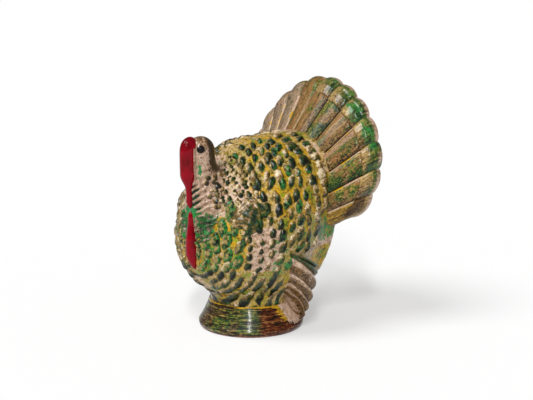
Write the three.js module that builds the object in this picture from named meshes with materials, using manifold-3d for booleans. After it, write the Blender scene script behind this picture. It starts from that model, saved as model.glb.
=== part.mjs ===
// Strutting turkey figure on a round pedestal, cast in sections and luted together.
// Millimetres. +Z is up, the bird faces -Y and its left side is at +X.
// The origin is the centre of the pedestal's flat resting face.
import * as THREE from "three";
import { mergeVertices } from "three/addons/utils/BufferGeometryUtils.js";
import Module from "manifold-3d";

const wasm = await Module();
wasm.setup();

// Joints between the sections
const JOINT_GAP = 0.3;
const SEAM_GAP = 0.3;

// Pedestal
const FOOT_RADIUS = 19.4;
const FOOT_UNDERCUT = 1.3;
const FOOT_EDGE_HEIGHT = 2.2;
const WAIST_RADIUS = 15.4;
const PEDESTAL_HEIGHT = 10.4;
const ROUND_SIDES = 48;
const FOOT_EDGE_STEPS = 4;
const FLARE_STEPS = 5;

// Body
const BODY_RISE = 29.1;
const BODY_HALF_WIDTH = 27.3;
const BODY_CROWN = 29.5;
const BODY_DEPTH = 29.8;
const BELLY_NECK_RADIUS = 15.2;
const BREAST_REACH = 27;
const BREAST_DROP = 7;
const BELLY_TUCK = 0.12;
const CHEST_TAPER = 0.3;
const RUMP_REACH = 22;
const RUMP_ROUNDING = 10;
const RUMP_HALF_WIDTH = 20.9;
const RUMP_RISE = 12;
const RUMP_CROWN = 19;
const RUMP_DEPTH = 39.5;

// Body feathers, in rows round the body
const BREAST_RINGS = 22;
const BACK_RINGS = 11;
const END_RINGS = 4;
const RING_STEPS = 80;
const BODY_FEATHER_RELIEF = 1.1;
const LONG_FEATHER_SHOULDER_SHARE = 0.7;
const BREAST_FEATHER_DEPTH = 8;
const BELLY_FEATHER_RISE = 15.6;
const COVERT_DROP = 6.5;
const NAPE_DEPTH = 14.5;
const NAPE_RISE = 9;
const NECK_MARGIN = 1.5;
const PLAIN_STRIP = 2.5;

// Smooth shoulder boss of each wing
const SHOULDER_HEIGHT = 1.9;
const SHOULDER_RADIUS = 5.6;
const SHOULDER_Y = -16.5;
const SHOULDER_ANGLE = 68;

// Head and neck
const HEAD_RISE = 32.6;
const HEAD_SETBACK = 4.2;
const HEAD_HALF_WIDTH = 4.7;
const HEAD_HALF_DEPTH = 5.2;
const NECK_ROOT_RISE = -4;
const NECK_ROOT_SETBACK = 9.2;
const NECK_ROOT_HALF_WIDTH = 9.4;
const NECK_RINGS = 7;
const SKULL_RINGS = 6;
const HEAD_SIDES = 24;

// Eyes
const EYE_RADIUS = 1.35;
const EYE_PROUD = 0.45;
const EYE_DROP = 4.2;
const EYE_ANGLE = 56;
const EYE_SIDES = 14;
const EYE_RINGS = 10;

// Snood over the face and wattle on the breast
const SNOOD_DROP = 0.7;
const SNOOD_LENGTH = 24.3;
const SNOOD_HALF_WIDTH = 2.6;
const SNOOD_FULLNESS = 1.35;
const SNOOD_TAIL_HALF_WIDTH = 1.1;
const SNOOD_NARROWING_SHARES = [0.5, 0.74];
const WATTLE_GAP = 1.2;
const WATTLE_LENGTH = 21;
const WATTLE_HALF_WIDTH = 2.3;
const WATTLE_FULLNESS = 1;
const WATTLE_SWELLING_SHARES = [0.1, 0.62];
const STRIP_END_SHARE = 0.12;
const STRIP_END_HALF_WIDTH = 0.02;
const STRIP_RINGS = 16;
const STRIP_SIDES = 12;
const BREAST_LINE_STEPS = 200;

// Tail fan: feathers run straight from a root inside the body to a round rim
const TAIL_ROOT_Y = -3;
const TAIL_ROOT_DROP = 2.5;
const TAIL_REACH = 29.8;
const TAIL_ROOT_SINK = 18;
const TAIL_RISE = 11.8;
const TAIL_LEAN = 6.2;
const TAIL_RADIUS = 38.3;
const TAIL_TOP_TAPER = 5.8;
const TAIL_SPREAD_ANGLE = 124;
const TAIL_LOW_TAPER = 14.8;
const TAIL_FEATHERS_PER_SIDE = 7;
const TAIL_SCALLOP = 1.2;
const TAIL_CROWN = 1;
const TAIL_TIP_STEP = 0.5;
const TAIL_EDGE = 2.2;
const TAIL_BACK_BULGE = 6;
const TAIL_LOW_TAPER_POWER = 3;
const TAIL_ROOT_SINK_POWER = 8;
const TAIL_TIP_SHARE = 0.9;
const TAIL_FRONT_SHARES = [0.5, 0.62, 0.75, 0.885, 0.905, 0.955, 1];
const TAIL_FRONT_CROWN_SHARES = [0.3, 0.6];
const TAIL_BACK_SHARES = [1, 0.85, 0.5, 0];
const TAIL_BACK_CROWN_SHARES = [0.1, 0.6];

// Drooped wing feathers
const WING_FEATHERS = 6;
const WING_CROWN = 1.9;
const WING_PROUD = 1.2;
const WING_EDGE = 1.8;
const WING_ROOT_DEPTH = 7.2;
const WING_TIP_RADIUS = 24.7;
const WING_TIP_ANGLE = 122;
const WING_TIP_TOP = 20.5;
const WING_TIP_FOOT = 3.4;
const WING_TIP_DRAW = 6;
const WING_SCALLOP = 0.7;
const WING_BOW = 1.5;
const WING_ROOT_TOP_Y = -4;
const WING_ROOT_TOP_ANGLE = 104;
const WING_ROOT_FOOT_Y = 3;
const WING_ROOT_FOOT_ANGLE = 146;
const WING_OUTER_SHARES = [0, 0.25, 0.5, 0.75, 1];
const WING_CROWN_SHARES = [0, 0.4];
const WING_INNER_SHARES = [1, 0.5, 0];

// Slices across each feather of the tail and wings
const FEATHER_SLICES = 4;

// Places that several sections share
const BODY_Z = PEDESTAL_HEIGHT + BODY_RISE;
const HEAD_TOP = BODY_Z + HEAD_RISE;
const NECK_ROOT_Z = BODY_Z + NECK_ROOT_RISE;
const SNOOD_TOP = HEAD_TOP - SNOOD_DROP;

const { lerp, clamp, smoothstep, degToRad } = THREE.MathUtils;

function spread(count, make) {
  return Array.from({ length: count + 1 }, (_, i) => make(i / count, i));
}

// Rounds an outline off to nothing over a length at its end, like a quarter of an ellipse
function roundOff(past, length) {
  const t = clamp(past / length, 0, 1);
  return Math.sqrt(1 - t * t);
}

// Closed manifold solid from a geometry, turned so that its faces point out
function solidOf(geometry) {
  const bare = new THREE.BufferGeometry();
  bare.setAttribute("position", geometry.attributes.position);
  bare.setIndex(geometry.index);
  const merged = mergeVertices(bare, 1e-4);
  const corners = merged.index.array;
  const kept = [];
  for (let i = 0; i < corners.length; i += 3) {
    const [a, b, c] = [corners[i], corners[i + 1], corners[i + 2]];
    if (a !== b && b !== c && c !== a) kept.push(a, b, c);
  }
  const vertProperties = new Float32Array(merged.attributes.position.array);
  const make = (list) =>
    new wasm.Manifold(new wasm.Mesh({ numProp: 3, vertProperties, triVerts: new Uint32Array(list) }));
  const solid = make(kept);
  return solid.volume() > 0 ? solid : make(kept.reverse());
}

// Skin through a row of closed rings of points, with both ends filled from their centres.
// The diagonals alternate, so that the left and right sides of a form mirror each other.
function loft(rings) {
  const around = rings[0].length;
  const points = rings.flat();
  const index = [];
  for (let i = 0; i + 1 < rings.length; i++) {
    for (let j = 0; j < around; j++) {
      const a = i * around + j;
      const b = i * around + ((j + 1) % around);
      const c = b + around;
      const d = a + around;
      if ((i + j) % 2 === 0) index.push(a, b, c, a, c, d);
      else index.push(a, b, d, b, c, d);
    }
  }
  for (const [first, turned] of [[0, true], [(rings.length - 1) * around, false]]) {
    const ring = points.slice(first, first + around);
    const centre = ring.reduce((sum, p) => sum.add(p), new THREE.Vector3()).divideScalar(around);
    const hub = points.push(centre) - 1;
    for (let j = 0; j < around; j++) {
      const a = first + j;
      const b = first + ((j + 1) % around);
      index.push(hub, turned ? b : a, turned ? a : b);
    }
  }
  const geometry = new THREE.BufferGeometry().setFromPoints(points);
  geometry.setIndex(index);
  return solidOf(geometry);
}

// Takes tools off a solid and keeps the main piece, without the waste of the cut
function cut(solid, ...tools) {
  const left = tools.reduce((rest, tool) => rest.subtract(tool), solid);
  return left.decompose().sort((a, b) => b.volume() - a.volume())[0];
}

// The part of a solid on one side of the seam plane
function sideOf(solid, side) {
  const reach = 4 * TAIL_RADIUS;
  const box = new THREE.BoxGeometry(reach, 2 * reach, 2 * reach);
  box.translate(side * (reach + SEAM_GAP) / 2, 0, 0);
  return solid.intersect(solidOf(box));
}

function mirrored(solid) {
  return solid.mirror([1, 0, 0]);
}

// Cross-section of the body at a place along its length
function bodySection(y) {
  const t = smoothstep(y, 0, RUMP_REACH);
  const forward = Math.max(-y / BREAST_REACH, 0);
  const size = y < 0 ? roundOff(-y, BREAST_REACH) : roundOff(y - RUMP_REACH, RUMP_ROUNDING);
  return {
    centre: BODY_Z + RUMP_RISE * t - BREAST_DROP * forward * forward,
    taper: CHEST_TAPER * forward,
    halfWidth: lerp(BODY_HALF_WIDTH, RUMP_HALF_WIDTH, t) * size,
    above: lerp(BODY_CROWN, RUMP_CROWN, t) * size,
    below: lerp(BODY_DEPTH, RUMP_DEPTH, t) * size * (1 - BELLY_TUCK * forward),
  };
}

// Point on the body: angle 0 is the ridge of the back, 90 the left flank, 180 the belly
function bodyPoint(y, angle, lift = 0) {
  const section = bodySection(y);
  const turn = degToRad(angle);
  const rise = Math.cos(turn);
  const height = rise > 0 ? section.above : section.below;
  const narrowing = 1 - section.taper * Math.max(rise, 0);
  return new THREE.Vector3(
    Math.sin(turn) * (section.halfWidth * narrowing + lift),
    y,
    section.centre + rise * (height + lift),
  );
}

function shoulderLift(point) {
  const boss = bodyPoint(SHOULDER_Y, SHOULDER_ANGLE);
  const away = Math.hypot(Math.abs(point.x) - boss.x, point.y - boss.y, point.z - boss.z);
  return SHOULDER_HEIGHT * roundOff(away, SHOULDER_RADIUS);
}

// Places of the rings along the body, closer together where the ends curve in
function bodyStations() {
  const breast = spread(BREAST_RINGS, (t) => -BREAST_REACH * Math.cos(t * Math.PI / 2));
  const back = spread(BACK_RINGS, (t) => RUMP_REACH * t).slice(1);
  const end = spread(END_RINGS, (t) => RUMP_REACH + RUMP_ROUNDING * Math.sin(t * Math.PI / 2)).slice(1);
  return [...breast, ...back, ...end];
}

// Places without feathers: the strip along the seam, the neck, the fine scales of the nape,
// the shoulder boss, and the flank under and behind the drooped wing
function isPlain(point) {
  const away = Math.abs(point.x);
  const neck = headSection(point.z);
  const neckReach = neck.halfWidth + NECK_MARGIN;
  const onNeck = point.z > NECK_ROOT_Z && Math.hypot(away, point.y - neck.y) < neckReach;
  const onNape = point.y < NAPE_DEPTH - BREAST_REACH && point.z > BODY_Z + NAPE_RISE;
  const underWing = point.y > WING_ROOT_TOP_Y && point.z < BODY_Z - COVERT_DROP;
  return away < PLAIN_STRIP || onNeck || onNape || underWing || shoulderLift(point) > 0;
}

// Share of the full relief at a step of a ring. Feathers stand on every second ring, in staggered rows.
// On the breast and belly they are long, four steps apart, with a shoulder on each side of the middle.
function featherShare(point, ring, step) {
  const onRow = ring % 2 === 0 && ring < BREAST_RINGS + BACK_RINGS - 2;
  if (!onRow || isPlain(point)) return 0;
  const row = ring / 2;
  const onBreast = point.y < BREAST_FEATHER_DEPTH - BREAST_REACH;
  const onBelly = point.z < PEDESTAL_HEIGHT + BELLY_FEATHER_RISE;
  if (!onBreast && !onBelly) return (step + row) % 2;
  const shares = [0, LONG_FEATHER_SHOULDER_SHARE, 1, LONG_FEATHER_SHOULDER_SHARE];
  return shares[(step + 2 * row) % shares.length];
}

function makeBodyForm(grow = 0) {
  const rings = bodyStations().map((y, ring) =>
    spread(RING_STEPS, (t, step) => {
      const angle = 360 * t;
      const plain = bodyPoint(y, angle);
      const boss = shoulderLift(plain);
      const feather = BODY_FEATHER_RELIEF * featherShare(plain, ring, step);
      const point = bodyPoint(y, angle, boss + feather + grow);
      const end = y < 0 ? BREAST_REACH : RUMP_REACH + RUMP_ROUNDING;
      point.y = y * (1 + grow / end);
      return point;
    }).slice(0, RING_STEPS));
  return loft(rings).add(makeBellyNeck(grow));
}

// Short round neck under the belly, which stands on the pedestal
function makeBellyNeck(grow) {
  const radius = BELLY_NECK_RADIUS + grow;
  const neck = new THREE.CylinderGeometry(radius, radius, BODY_Z, ROUND_SIDES);
  return solidOf(neck.rotateX(Math.PI / 2).translate(0, 0, BODY_Z / 2));
}

function makePedestal(grow = 0) {
  const foot = FOOT_RADIUS + grow;
  const waist = WAIST_RADIUS + grow;
  const flare = new THREE.QuadraticBezierCurve(
    new THREE.Vector2(foot, FOOT_EDGE_HEIGHT),
    new THREE.Vector2(lerp(waist, foot, 0.5), PEDESTAL_HEIGHT / 2),
    new THREE.Vector2(waist, PEDESTAL_HEIGHT + grow),
  );
  const edge = new THREE.EllipseCurve(
    foot - FOOT_UNDERCUT, FOOT_EDGE_HEIGHT, FOOT_UNDERCUT, FOOT_EDGE_HEIGHT, -Math.PI / 2, 0);
  const profile = [
    new THREE.Vector2(0, 0),
    ...edge.getPoints(FOOT_EDGE_STEPS),
    ...flare.getPoints(FLARE_STEPS).slice(1),
    new THREE.Vector2(0, PEDESTAL_HEIGHT + grow),
  ];
  return solidOf(new THREE.LatheGeometry(profile, ROUND_SIDES).rotateX(Math.PI / 2));
}

// Cross-section of the head and neck at a height
function headSection(z) {
  const cheek = HEAD_TOP - HEAD_HALF_DEPTH;
  const t = smoothstep(z, NECK_ROOT_Z, cheek);
  const size = roundOff(z - cheek, HEAD_TOP - cheek);
  return {
    y: -BREAST_REACH + lerp(NECK_ROOT_SETBACK, HEAD_SETBACK, t),
    halfWidth: lerp(NECK_ROOT_HALF_WIDTH, HEAD_HALF_WIDTH, t) * size,
    halfDepth: lerp(NECK_ROOT_HALF_WIDTH, HEAD_HALF_DEPTH, t) * size,
  };
}

function makeHeadForm(grow = 0) {
  const cheek = HEAD_TOP - HEAD_HALF_DEPTH;
  const neck = spread(NECK_RINGS, (t) => lerp(NECK_ROOT_Z, cheek, t));
  const skull = spread(SKULL_RINGS, (t) =>
    cheek + (HEAD_TOP - cheek) * Math.sin(t * Math.PI / 2)).slice(1);
  const rings = [...neck, ...skull].map((z) => {
    const section = headSection(z);
    return spread(HEAD_SIDES, (t) => {
      const turn = 2 * Math.PI * t;
      return new THREE.Vector3(
        (section.halfWidth + grow) * Math.sin(turn),
        section.y - (section.halfDepth + grow) * Math.cos(turn),
        z,
      );
    }).slice(0, HEAD_SIDES);
  });
  return loft(rings);
}

function eyeCentre(side) {
  const z = HEAD_TOP - EYE_DROP;
  const section = headSection(z);
  const turn = degToRad(EYE_ANGLE);
  const inset = EYE_RADIUS - EYE_PROUD;
  return new THREE.Vector3(
    side * (section.halfWidth - inset) * Math.sin(turn),
    section.y - (section.halfDepth - inset) * Math.cos(turn),
    z,
  );
}

function makeEye(side, grow = 0) {
  const ball = new THREE.SphereGeometry(EYE_RADIUS + grow, EYE_SIDES, EYE_RINGS);
  const at = eyeCentre(side);
  return solidOf(ball.translate(at.x, at.y, at.z));
}

// Front of the bird on its middle line, at a height
function frontLine(z) {
  const section = headSection(z);
  const head = section.y - section.halfDepth;
  const breast = breastLine(z);
  return z > NECK_ROOT_Z ? Math.min(head, breast) : breast;
}

// Front of the breast on its middle line: the last ring whose height spans the place asked for
function breastLine(z) {
  const rings = spread(BREAST_LINE_STEPS, (t) => -BREAST_REACH * t);
  return rings.findLast((y) => {
    const section = bodySection(y);
    return z < section.centre + section.above && z > section.centre - section.below;
  }) ?? 0;
}

// Strip of flesh that hangs down the front line, rounded at both ends
function makeStrip(top, length, fullness, halfWidthAt) {
  const spine = spread(STRIP_RINGS, (t) => {
    const z = top - length * t;
    return new THREE.Vector3(0, frontLine(z), z);
  });
  const curve = new THREE.CatmullRomCurve3(spine);
  const across = new THREE.Vector3(1, 0, 0);
  const rings = spread(STRIP_RINGS, (t) => {
    const at = curve.getPoint(t);
    const out = new THREE.Vector3().crossVectors(curve.getTangent(t), across).normalize();
    const rounding = roundOff(STRIP_END_SHARE - Math.min(t, 1 - t), STRIP_END_SHARE);
    const half = Math.max(halfWidthAt(t) * rounding, STRIP_END_HALF_WIDTH);
    return spread(STRIP_SIDES, (s) => {
      const turn = 2 * Math.PI * s;
      return at.clone()
        .addScaledVector(across, half * Math.cos(turn))
        .addScaledVector(out, fullness * half * Math.sin(turn));
    }).slice(0, STRIP_SIDES);
  });
  return loft(rings);
}

function makeSnood() {
  return makeStrip(SNOOD_TOP, SNOOD_LENGTH, SNOOD_FULLNESS, (t) =>
    lerp(SNOOD_HALF_WIDTH, SNOOD_TAIL_HALF_WIDTH, smoothstep(t, ...SNOOD_NARROWING_SHARES)));
}

function makeWattle() {
  const top = SNOOD_TOP - SNOOD_LENGTH - WATTLE_GAP;
  return makeStrip(top, WATTLE_LENGTH, WATTLE_FULLNESS, (t) =>
    lerp(SNOOD_TAIL_HALF_WIDTH, WATTLE_HALF_WIDTH, smoothstep(t, ...WATTLE_SWELLING_SHARES)));
}

// Rim of the fan at an angle from the top, drawn in at the lowest feathers and between the tips
function tailRim(angle, across) {
  const low = Math.pow(Math.abs(angle) / TAIL_SPREAD_ANGLE, TAIL_LOW_TAPER_POWER);
  const notch = Math.pow(2 * across - 1, 2);
  const turn = degToRad(angle);
  const high = Math.max(Math.cos(turn), 0);
  const radius = TAIL_RADIUS - TAIL_LOW_TAPER * low - TAIL_SCALLOP * notch;
  return new THREE.Vector3(
    (radius - TAIL_TOP_TAPER * high * high) * Math.sin(turn),
    TAIL_REACH + TAIL_LEAN * high,
    BODY_Z + TAIL_RISE + radius * Math.cos(turn),
  );
}

// One slice of the fan: along the front of a feather to its tip, and back along the rear
function tailSlice(angle, across) {
  const sink = TAIL_ROOT_SINK * Math.pow(Math.abs(angle) / TAIL_SPREAD_ANGLE, TAIL_ROOT_SINK_POWER);
  const apex = new THREE.Vector3(0, TAIL_ROOT_Y, BODY_Z - TAIL_ROOT_DROP);
  const root = apex.clone().setZ(apex.z - sink);
  const rear = new THREE.Vector3(0, TAIL_REACH + TAIL_EDGE + TAIL_BACK_BULGE, BODY_Z + TAIL_RISE);
  const rim = tailRim(angle, across);
  const crown = TAIL_CROWN * (1 - Math.pow(2 * across - 1, 4));
  const front = TAIL_FRONT_SHARES.map((along) => {
    const step = along > TAIL_TIP_SHARE ? TAIL_TIP_STEP : 0;
    const lift = (crown + step) * smoothstep(along, ...TAIL_FRONT_CROWN_SHARES);
    return root.clone().lerp(rim, along).add(new THREE.Vector3(0, -lift, 0));
  });
  const back = TAIL_BACK_SHARES.map((along) => {
    const lift = crown / 2 * smoothstep(along, ...TAIL_BACK_CROWN_SHARES);
    const edge = rim.clone().setY(rim.y + TAIL_EDGE);
    return rear.clone().lerp(edge, along).add(new THREE.Vector3(0, lift, 0));
  });
  return [apex, ...front, ...back];
}

function makeTail() {
  const feathers = 2 * TAIL_FEATHERS_PER_SIDE;
  const slices = spread(feathers * FEATHER_SLICES, (t, i) => {
    const across = (i % FEATHER_SLICES) / FEATHER_SLICES;
    return tailSlice(lerp(-TAIL_SPREAD_ANGLE, TAIL_SPREAD_ANGLE, t), across);
  });
  return loft(slices);
}

// Line where the drooped feathers leave the flank, from the highest feather to the lowest
function wingRoot(t) {
  const y = lerp(WING_ROOT_TOP_Y, WING_ROOT_FOOT_Y, t);
  return bodyPoint(y, lerp(WING_ROOT_TOP_ANGLE, WING_ROOT_FOOT_ANGLE, t), WING_PROUD);
}

// Tips of the drooped feathers, on an arc behind the flank that draws in towards the pedestal
function wingTip(t, across) {
  const notch = Math.pow(2 * across - 1, 2);
  const radius = WING_TIP_RADIUS - WING_TIP_DRAW * t * t - WING_SCALLOP * notch;
  const turn = degToRad(WING_TIP_ANGLE);
  return new THREE.Vector3(
    radius * Math.sin(turn),
    -radius * Math.cos(turn),
    lerp(WING_TIP_TOP, WING_TIP_FOOT, t),
  );
}

// One slice of the left wing: along the outside of a feather to its tip, and back inside
function wingSlice(t, across) {
  const root = wingRoot(t);
  const tip = wingTip(t, across);
  const crown = WING_CROWN * (1 - Math.pow(2 * across - 1, 4));
  const outward = new THREE.Vector3(root.x + tip.x, root.y + tip.y, 0).normalize();
  const outer = WING_OUTER_SHARES.map((u) => {
    const bow = WING_BOW * Math.sin(Math.PI * u);
    const lift = bow + crown * smoothstep(u, ...WING_CROWN_SHARES);
    return root.clone().lerp(tip, u).addScaledVector(outward, lift);
  });
  const inner = WING_INNER_SHARES.map((u) => {
    const depth = lerp(WING_ROOT_DEPTH, WING_EDGE, u);
    return root.clone().lerp(tip, u).addScaledVector(outward, -depth);
  });
  return [...outer, ...inner];
}

function makeLeftWing() {
  const slices = spread(WING_FEATHERS * FEATHER_SLICES, (t, i) =>
    wingSlice(t, (i % FEATHER_SLICES) / FEATHER_SLICES));
  return loft(slices);
}

function paint(color, roughness) {
  return new THREE.MeshStandardMaterial({ color, roughness, metalness: 0 });
}

function meshOf(name, solid, material) {
  const { vertProperties, triVerts } = solid.getMesh();
  const geometry = new THREE.BufferGeometry();
  geometry.setAttribute("position", new THREE.BufferAttribute(vertProperties, 3));
  geometry.setIndex(new THREE.BufferAttribute(triVerts, 1));
  geometry.computeVertexNormals();
  const mesh = new THREE.Mesh(geometry, material);
  mesh.name = name;
  return mesh;
}

function makeTurkey() {
  const bodyRoom = makeBodyForm(JOINT_GAP);
  const headRoom = makeHeadForm(JOINT_GAP);
  const pedestalRoom = makePedestal(JOINT_GAP);
  const body = cut(makeBodyForm(), pedestalRoom);
  const sockets = [1, -1].map((side) => makeEye(side, JOINT_GAP));
  const tail = cut(makeTail(), bodyRoom);
  const leftWing = cut(makeLeftWing(), bodyRoom, pedestalRoom);

  const group = new THREE.Group();
  group.name = "turkey_figure";
  group.add(
    meshOf("pedestal", makePedestal(), paint("#6a5a3a", 0.3)),
    meshOf("left_body_half", sideOf(body, 1), paint("#7d7a45", 0.35)),
    meshOf("right_body_half", sideOf(body, -1), paint("#7d7a45", 0.35)),
    meshOf("head", cut(makeHeadForm(), bodyRoom, ...sockets), paint("#c4a493", 0.4)),
    meshOf("snood", cut(makeSnood(), headRoom, bodyRoom), paint("#a51222", 0.25)),
    meshOf("wattle", cut(makeWattle(), headRoom, bodyRoom), paint("#a51222", 0.25)),
    meshOf("left_eye", makeEye(1), paint("#0c0a0a", 0.2)),
    meshOf("right_eye", makeEye(-1), paint("#0c0a0a", 0.2)),
    meshOf("left_wing", leftWing, paint("#9a7f62", 0.4)),
    meshOf("right_wing", mirrored(leftWing), paint("#9a7f62", 0.4)),
    meshOf("left_tail_fan", sideOf(tail, 1), paint("#7f6a42", 0.35)),
    meshOf("right_tail_fan", sideOf(tail, -1), paint("#7f6a42", 0.35)),
  );
  return group;
}

const group = makeTurkey();
export default group;
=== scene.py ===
"""Looks of a hand-painted turkey figure: carved plumage, brushed paint under varnish, studio stage.

Shapes are worked out in millimetres, in the frame of the solids, and stored in metres.
The bird faces -Y, +Z is up and its left side is at +X.
"""
import math
from dataclasses import dataclass

import bpy
import numpy as np
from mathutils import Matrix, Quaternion, Vector


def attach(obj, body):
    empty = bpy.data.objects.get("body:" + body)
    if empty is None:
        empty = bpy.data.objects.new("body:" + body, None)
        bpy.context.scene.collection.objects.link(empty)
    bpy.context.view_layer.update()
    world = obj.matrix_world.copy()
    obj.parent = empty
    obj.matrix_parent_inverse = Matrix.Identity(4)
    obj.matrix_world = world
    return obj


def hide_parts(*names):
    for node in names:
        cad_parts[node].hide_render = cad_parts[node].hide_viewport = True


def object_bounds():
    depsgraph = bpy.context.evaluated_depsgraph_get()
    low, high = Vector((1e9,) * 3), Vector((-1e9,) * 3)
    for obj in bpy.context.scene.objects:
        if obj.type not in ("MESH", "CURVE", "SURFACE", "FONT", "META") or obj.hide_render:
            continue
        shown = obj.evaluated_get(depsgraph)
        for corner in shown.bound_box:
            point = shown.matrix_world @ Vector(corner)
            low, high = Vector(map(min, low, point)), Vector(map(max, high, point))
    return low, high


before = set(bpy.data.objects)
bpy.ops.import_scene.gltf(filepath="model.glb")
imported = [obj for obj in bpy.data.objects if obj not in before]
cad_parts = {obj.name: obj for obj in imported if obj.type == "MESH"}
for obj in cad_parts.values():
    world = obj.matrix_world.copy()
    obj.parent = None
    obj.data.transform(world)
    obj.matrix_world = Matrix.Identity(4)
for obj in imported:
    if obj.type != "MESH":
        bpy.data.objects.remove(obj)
cad_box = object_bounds()

MM = 0.001
SEED = 11
SHARP_ANGLE = 65
LEFTWARD = np.array([1.0, 0.0, 0.0])
BACKWARD = np.array([0.0, 1.0, 0.0])
UPWARD = np.array([0.0, 0.0, 1.0])

# Pedestal
FOOT_RADIUS = 19.4
FOOT_UNDERCUT = 1.3
FOOT_EDGE_HEIGHT = 2.2
WAIST_RADIUS = 15.4
PEDESTAL_HEIGHT = 10.4
FOOT_EDGE_RINGS = 14
FLARE_RINGS = 40
PEDESTAL_SIDES = 240
PEDESTAL_STROKE_RADIUS = 18
CHIP_TURN = 0.58
CHIP_SLANT = 0.026

# Body
BODY_Z = 39.5
BODY_HALF_WIDTH = 27.3
BODY_CROWN = 29.5
BODY_DEPTH = 29.8
BELLY_NECK_RADIUS = 15.2
BELLY_NECK_TOP = 31.5
BELLY_NECK_FOOT = 10.2
BELLY_DRAW_START = 19
BELLY_DRAW_END = 13
BREAST_REACH = 27
BREAST_DROP = 7
BELLY_TUCK = 0.12
CHEST_TAPER = 0.3
RUMP_REACH = 22
RUMP_ROUNDING = 10
RUMP_HALF_WIDTH = 20.9
RUMP_RISE = 12
RUMP_CROWN = 19
RUMP_DEPTH = 39.5
SHOULDER_HEIGHT = 1.9
SHOULDER_RADIUS = 5.6
SHOULDER_Y = -16.5
SHOULDER_ANGLE = 68
SHOULDER_LUMPS = 0.5
SHOULDER_FALL = 1.1
SHOULDER_FALL_POWER = 2.4
BREAST_MESH_RINGS = 170
BACK_MESH_RINGS = 80
END_MESH_RINGS = 34
BODY_MESH_STEPS = 320

# Depth, wave length and seed of the two kinds of tool mark on the body
TOOL_MARKS = ((0.12, 7, 1), (0.09, 2.2, 7))

# Body feathers, in the rows of the solids apart from the nape and the rear
BREAST_RINGS = 22
BACK_RINGS = 11
RING_STEPS = 80
BODY_FEATHER_RELIEF = 1.1
BREAST_FEATHER_END = -19
BELLY_FEATHER_TOP = 26
FLANK_FEATHER_END = -9
FLANK_FEATHER_TOP = 45
CAPE_FEATHER_FOOT = 53.5
COVERT_FOOT = 33
CAPE_EDGE = 54.3
CAPE_EDGE_ROOM = 2.2
CAPE_EDGE_END = 6
NAPE_END = -12.5
NAPE_FOOT = 48.5
REAR_FEATHER_START = 6
REAR_FEATHER_GROWTH = 0.1
FAN_ROOT_START = 14.5
FAN_ROOT_TOP = 45
NECK_MARGIN = 1.5
PLAIN_STRIP = 2.5
FEATHER_TILT_SPREAD = 8
FEATHER_NUDGE_SPREAD = 0.2
FEATHER_SIZES = (0.75, 1.12)
FEATHER_WIDTHS = (0.88, 1.12)
FEATHER_HEIGHTS = (0.9, 1.1)
FEATHER_COLOUR_SPREAD = 0.18
FEATHER_EDGE_WANDER = 0.25
FEATHER_EDGE_WAVE = 2.4
FEATHER_ROUNDNESS = 0.6
FEATHER_TIP_SLOPE = 0.25
FEATHER_SIDE_SLOPE = 0.35
# Up and forward parts of the side of each feather that is painted lighter, as painted light; the opposite
# side is painted darker, as painted shade
PALE_SIDE = (0.55, 0.85)

# Head and neck
HEAD_TOP = 72.1
HEAD_SETBACK = 4.2
HEAD_HALF_WIDTH = 4.7
HEAD_HALF_DEPTH = 5.2
NECK_ROOT_Z = 35.5
NECK_ROOT_SETBACK = 9.2
NECK_ROOT_HALF_WIDTH = 9.4
NECK_FILLET = 1.6
NECK_FILLET_REACH = 4
NECK_FOLD_GAP = 2.1
NECK_FOLD_SLANT = 4
RUFF_SCALE_FOOT = 48
RUFF_SCALE_TOP = 60
RUFF_SCALE_GAP = 2.1
RUFF_TURN_START = 1.15
RUFF_TURN_END = 2.4
RUFF_TURN_STEP = 0.18
RUFF_SCALE_LENGTHS = (0.4, 0.56)
RUFF_SCALE_WIDTHS = (0.36, 0.48)
RUFF_SCALE_HEIGHTS = (0.5, 0.8)
RUFF_SCALE_TONE = 0.4
RUFF_TONE_SPREAD = 0.22
RUFF_NUDGE_SPREAD = 0.4
NECK_MESH_RINGS = 150
SKULL_MESH_RINGS = 30
HEAD_MESH_STEPS = 192

# Eyes, snood and wattle
EYE_RADIUS = 1.35
EYE_PROUD = 0.45
EYE_DROP = 4.2
EYE_ANGLE = 56
EYE_SPOT_RADIUS = 1.65
EYE_SPOT_RISE = 0.2
EYE_MESH_RINGS = 19
EYE_MESH_STEPS = 32
SNOOD_TOP = 71.4
SNOOD_LENGTH = 24.3
SNOOD_HALF_WIDTH = 2.6
SNOOD_FULLNESS = 1.35
SNOOD_TAIL_HALF_WIDTH = 1.1
SNOOD_NARROWING_SHARES = (0.5, 0.74)
WATTLE_TOP = 45.9
WATTLE_LENGTH = 21
WATTLE_HALF_WIDTH = 2.3
WATTLE_FULLNESS = 1
WATTLE_SWELLING_SHARES = (0.1, 0.62)
WATTLE_POINT = 0.6
WATTLE_POINT_SHARES = (0.7, 1)
STRIP_END_SHARE = 0.12
STRIP_END_HALF_WIDTH = 0.02
STRIP_END_RINGS = 12
STRIP_MESH_RINGS = 70
STRIP_MESH_STEPS = 40
STRIP_SMOOTHING = 4
BREAST_LINE_SAMPLES = 1500

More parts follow.
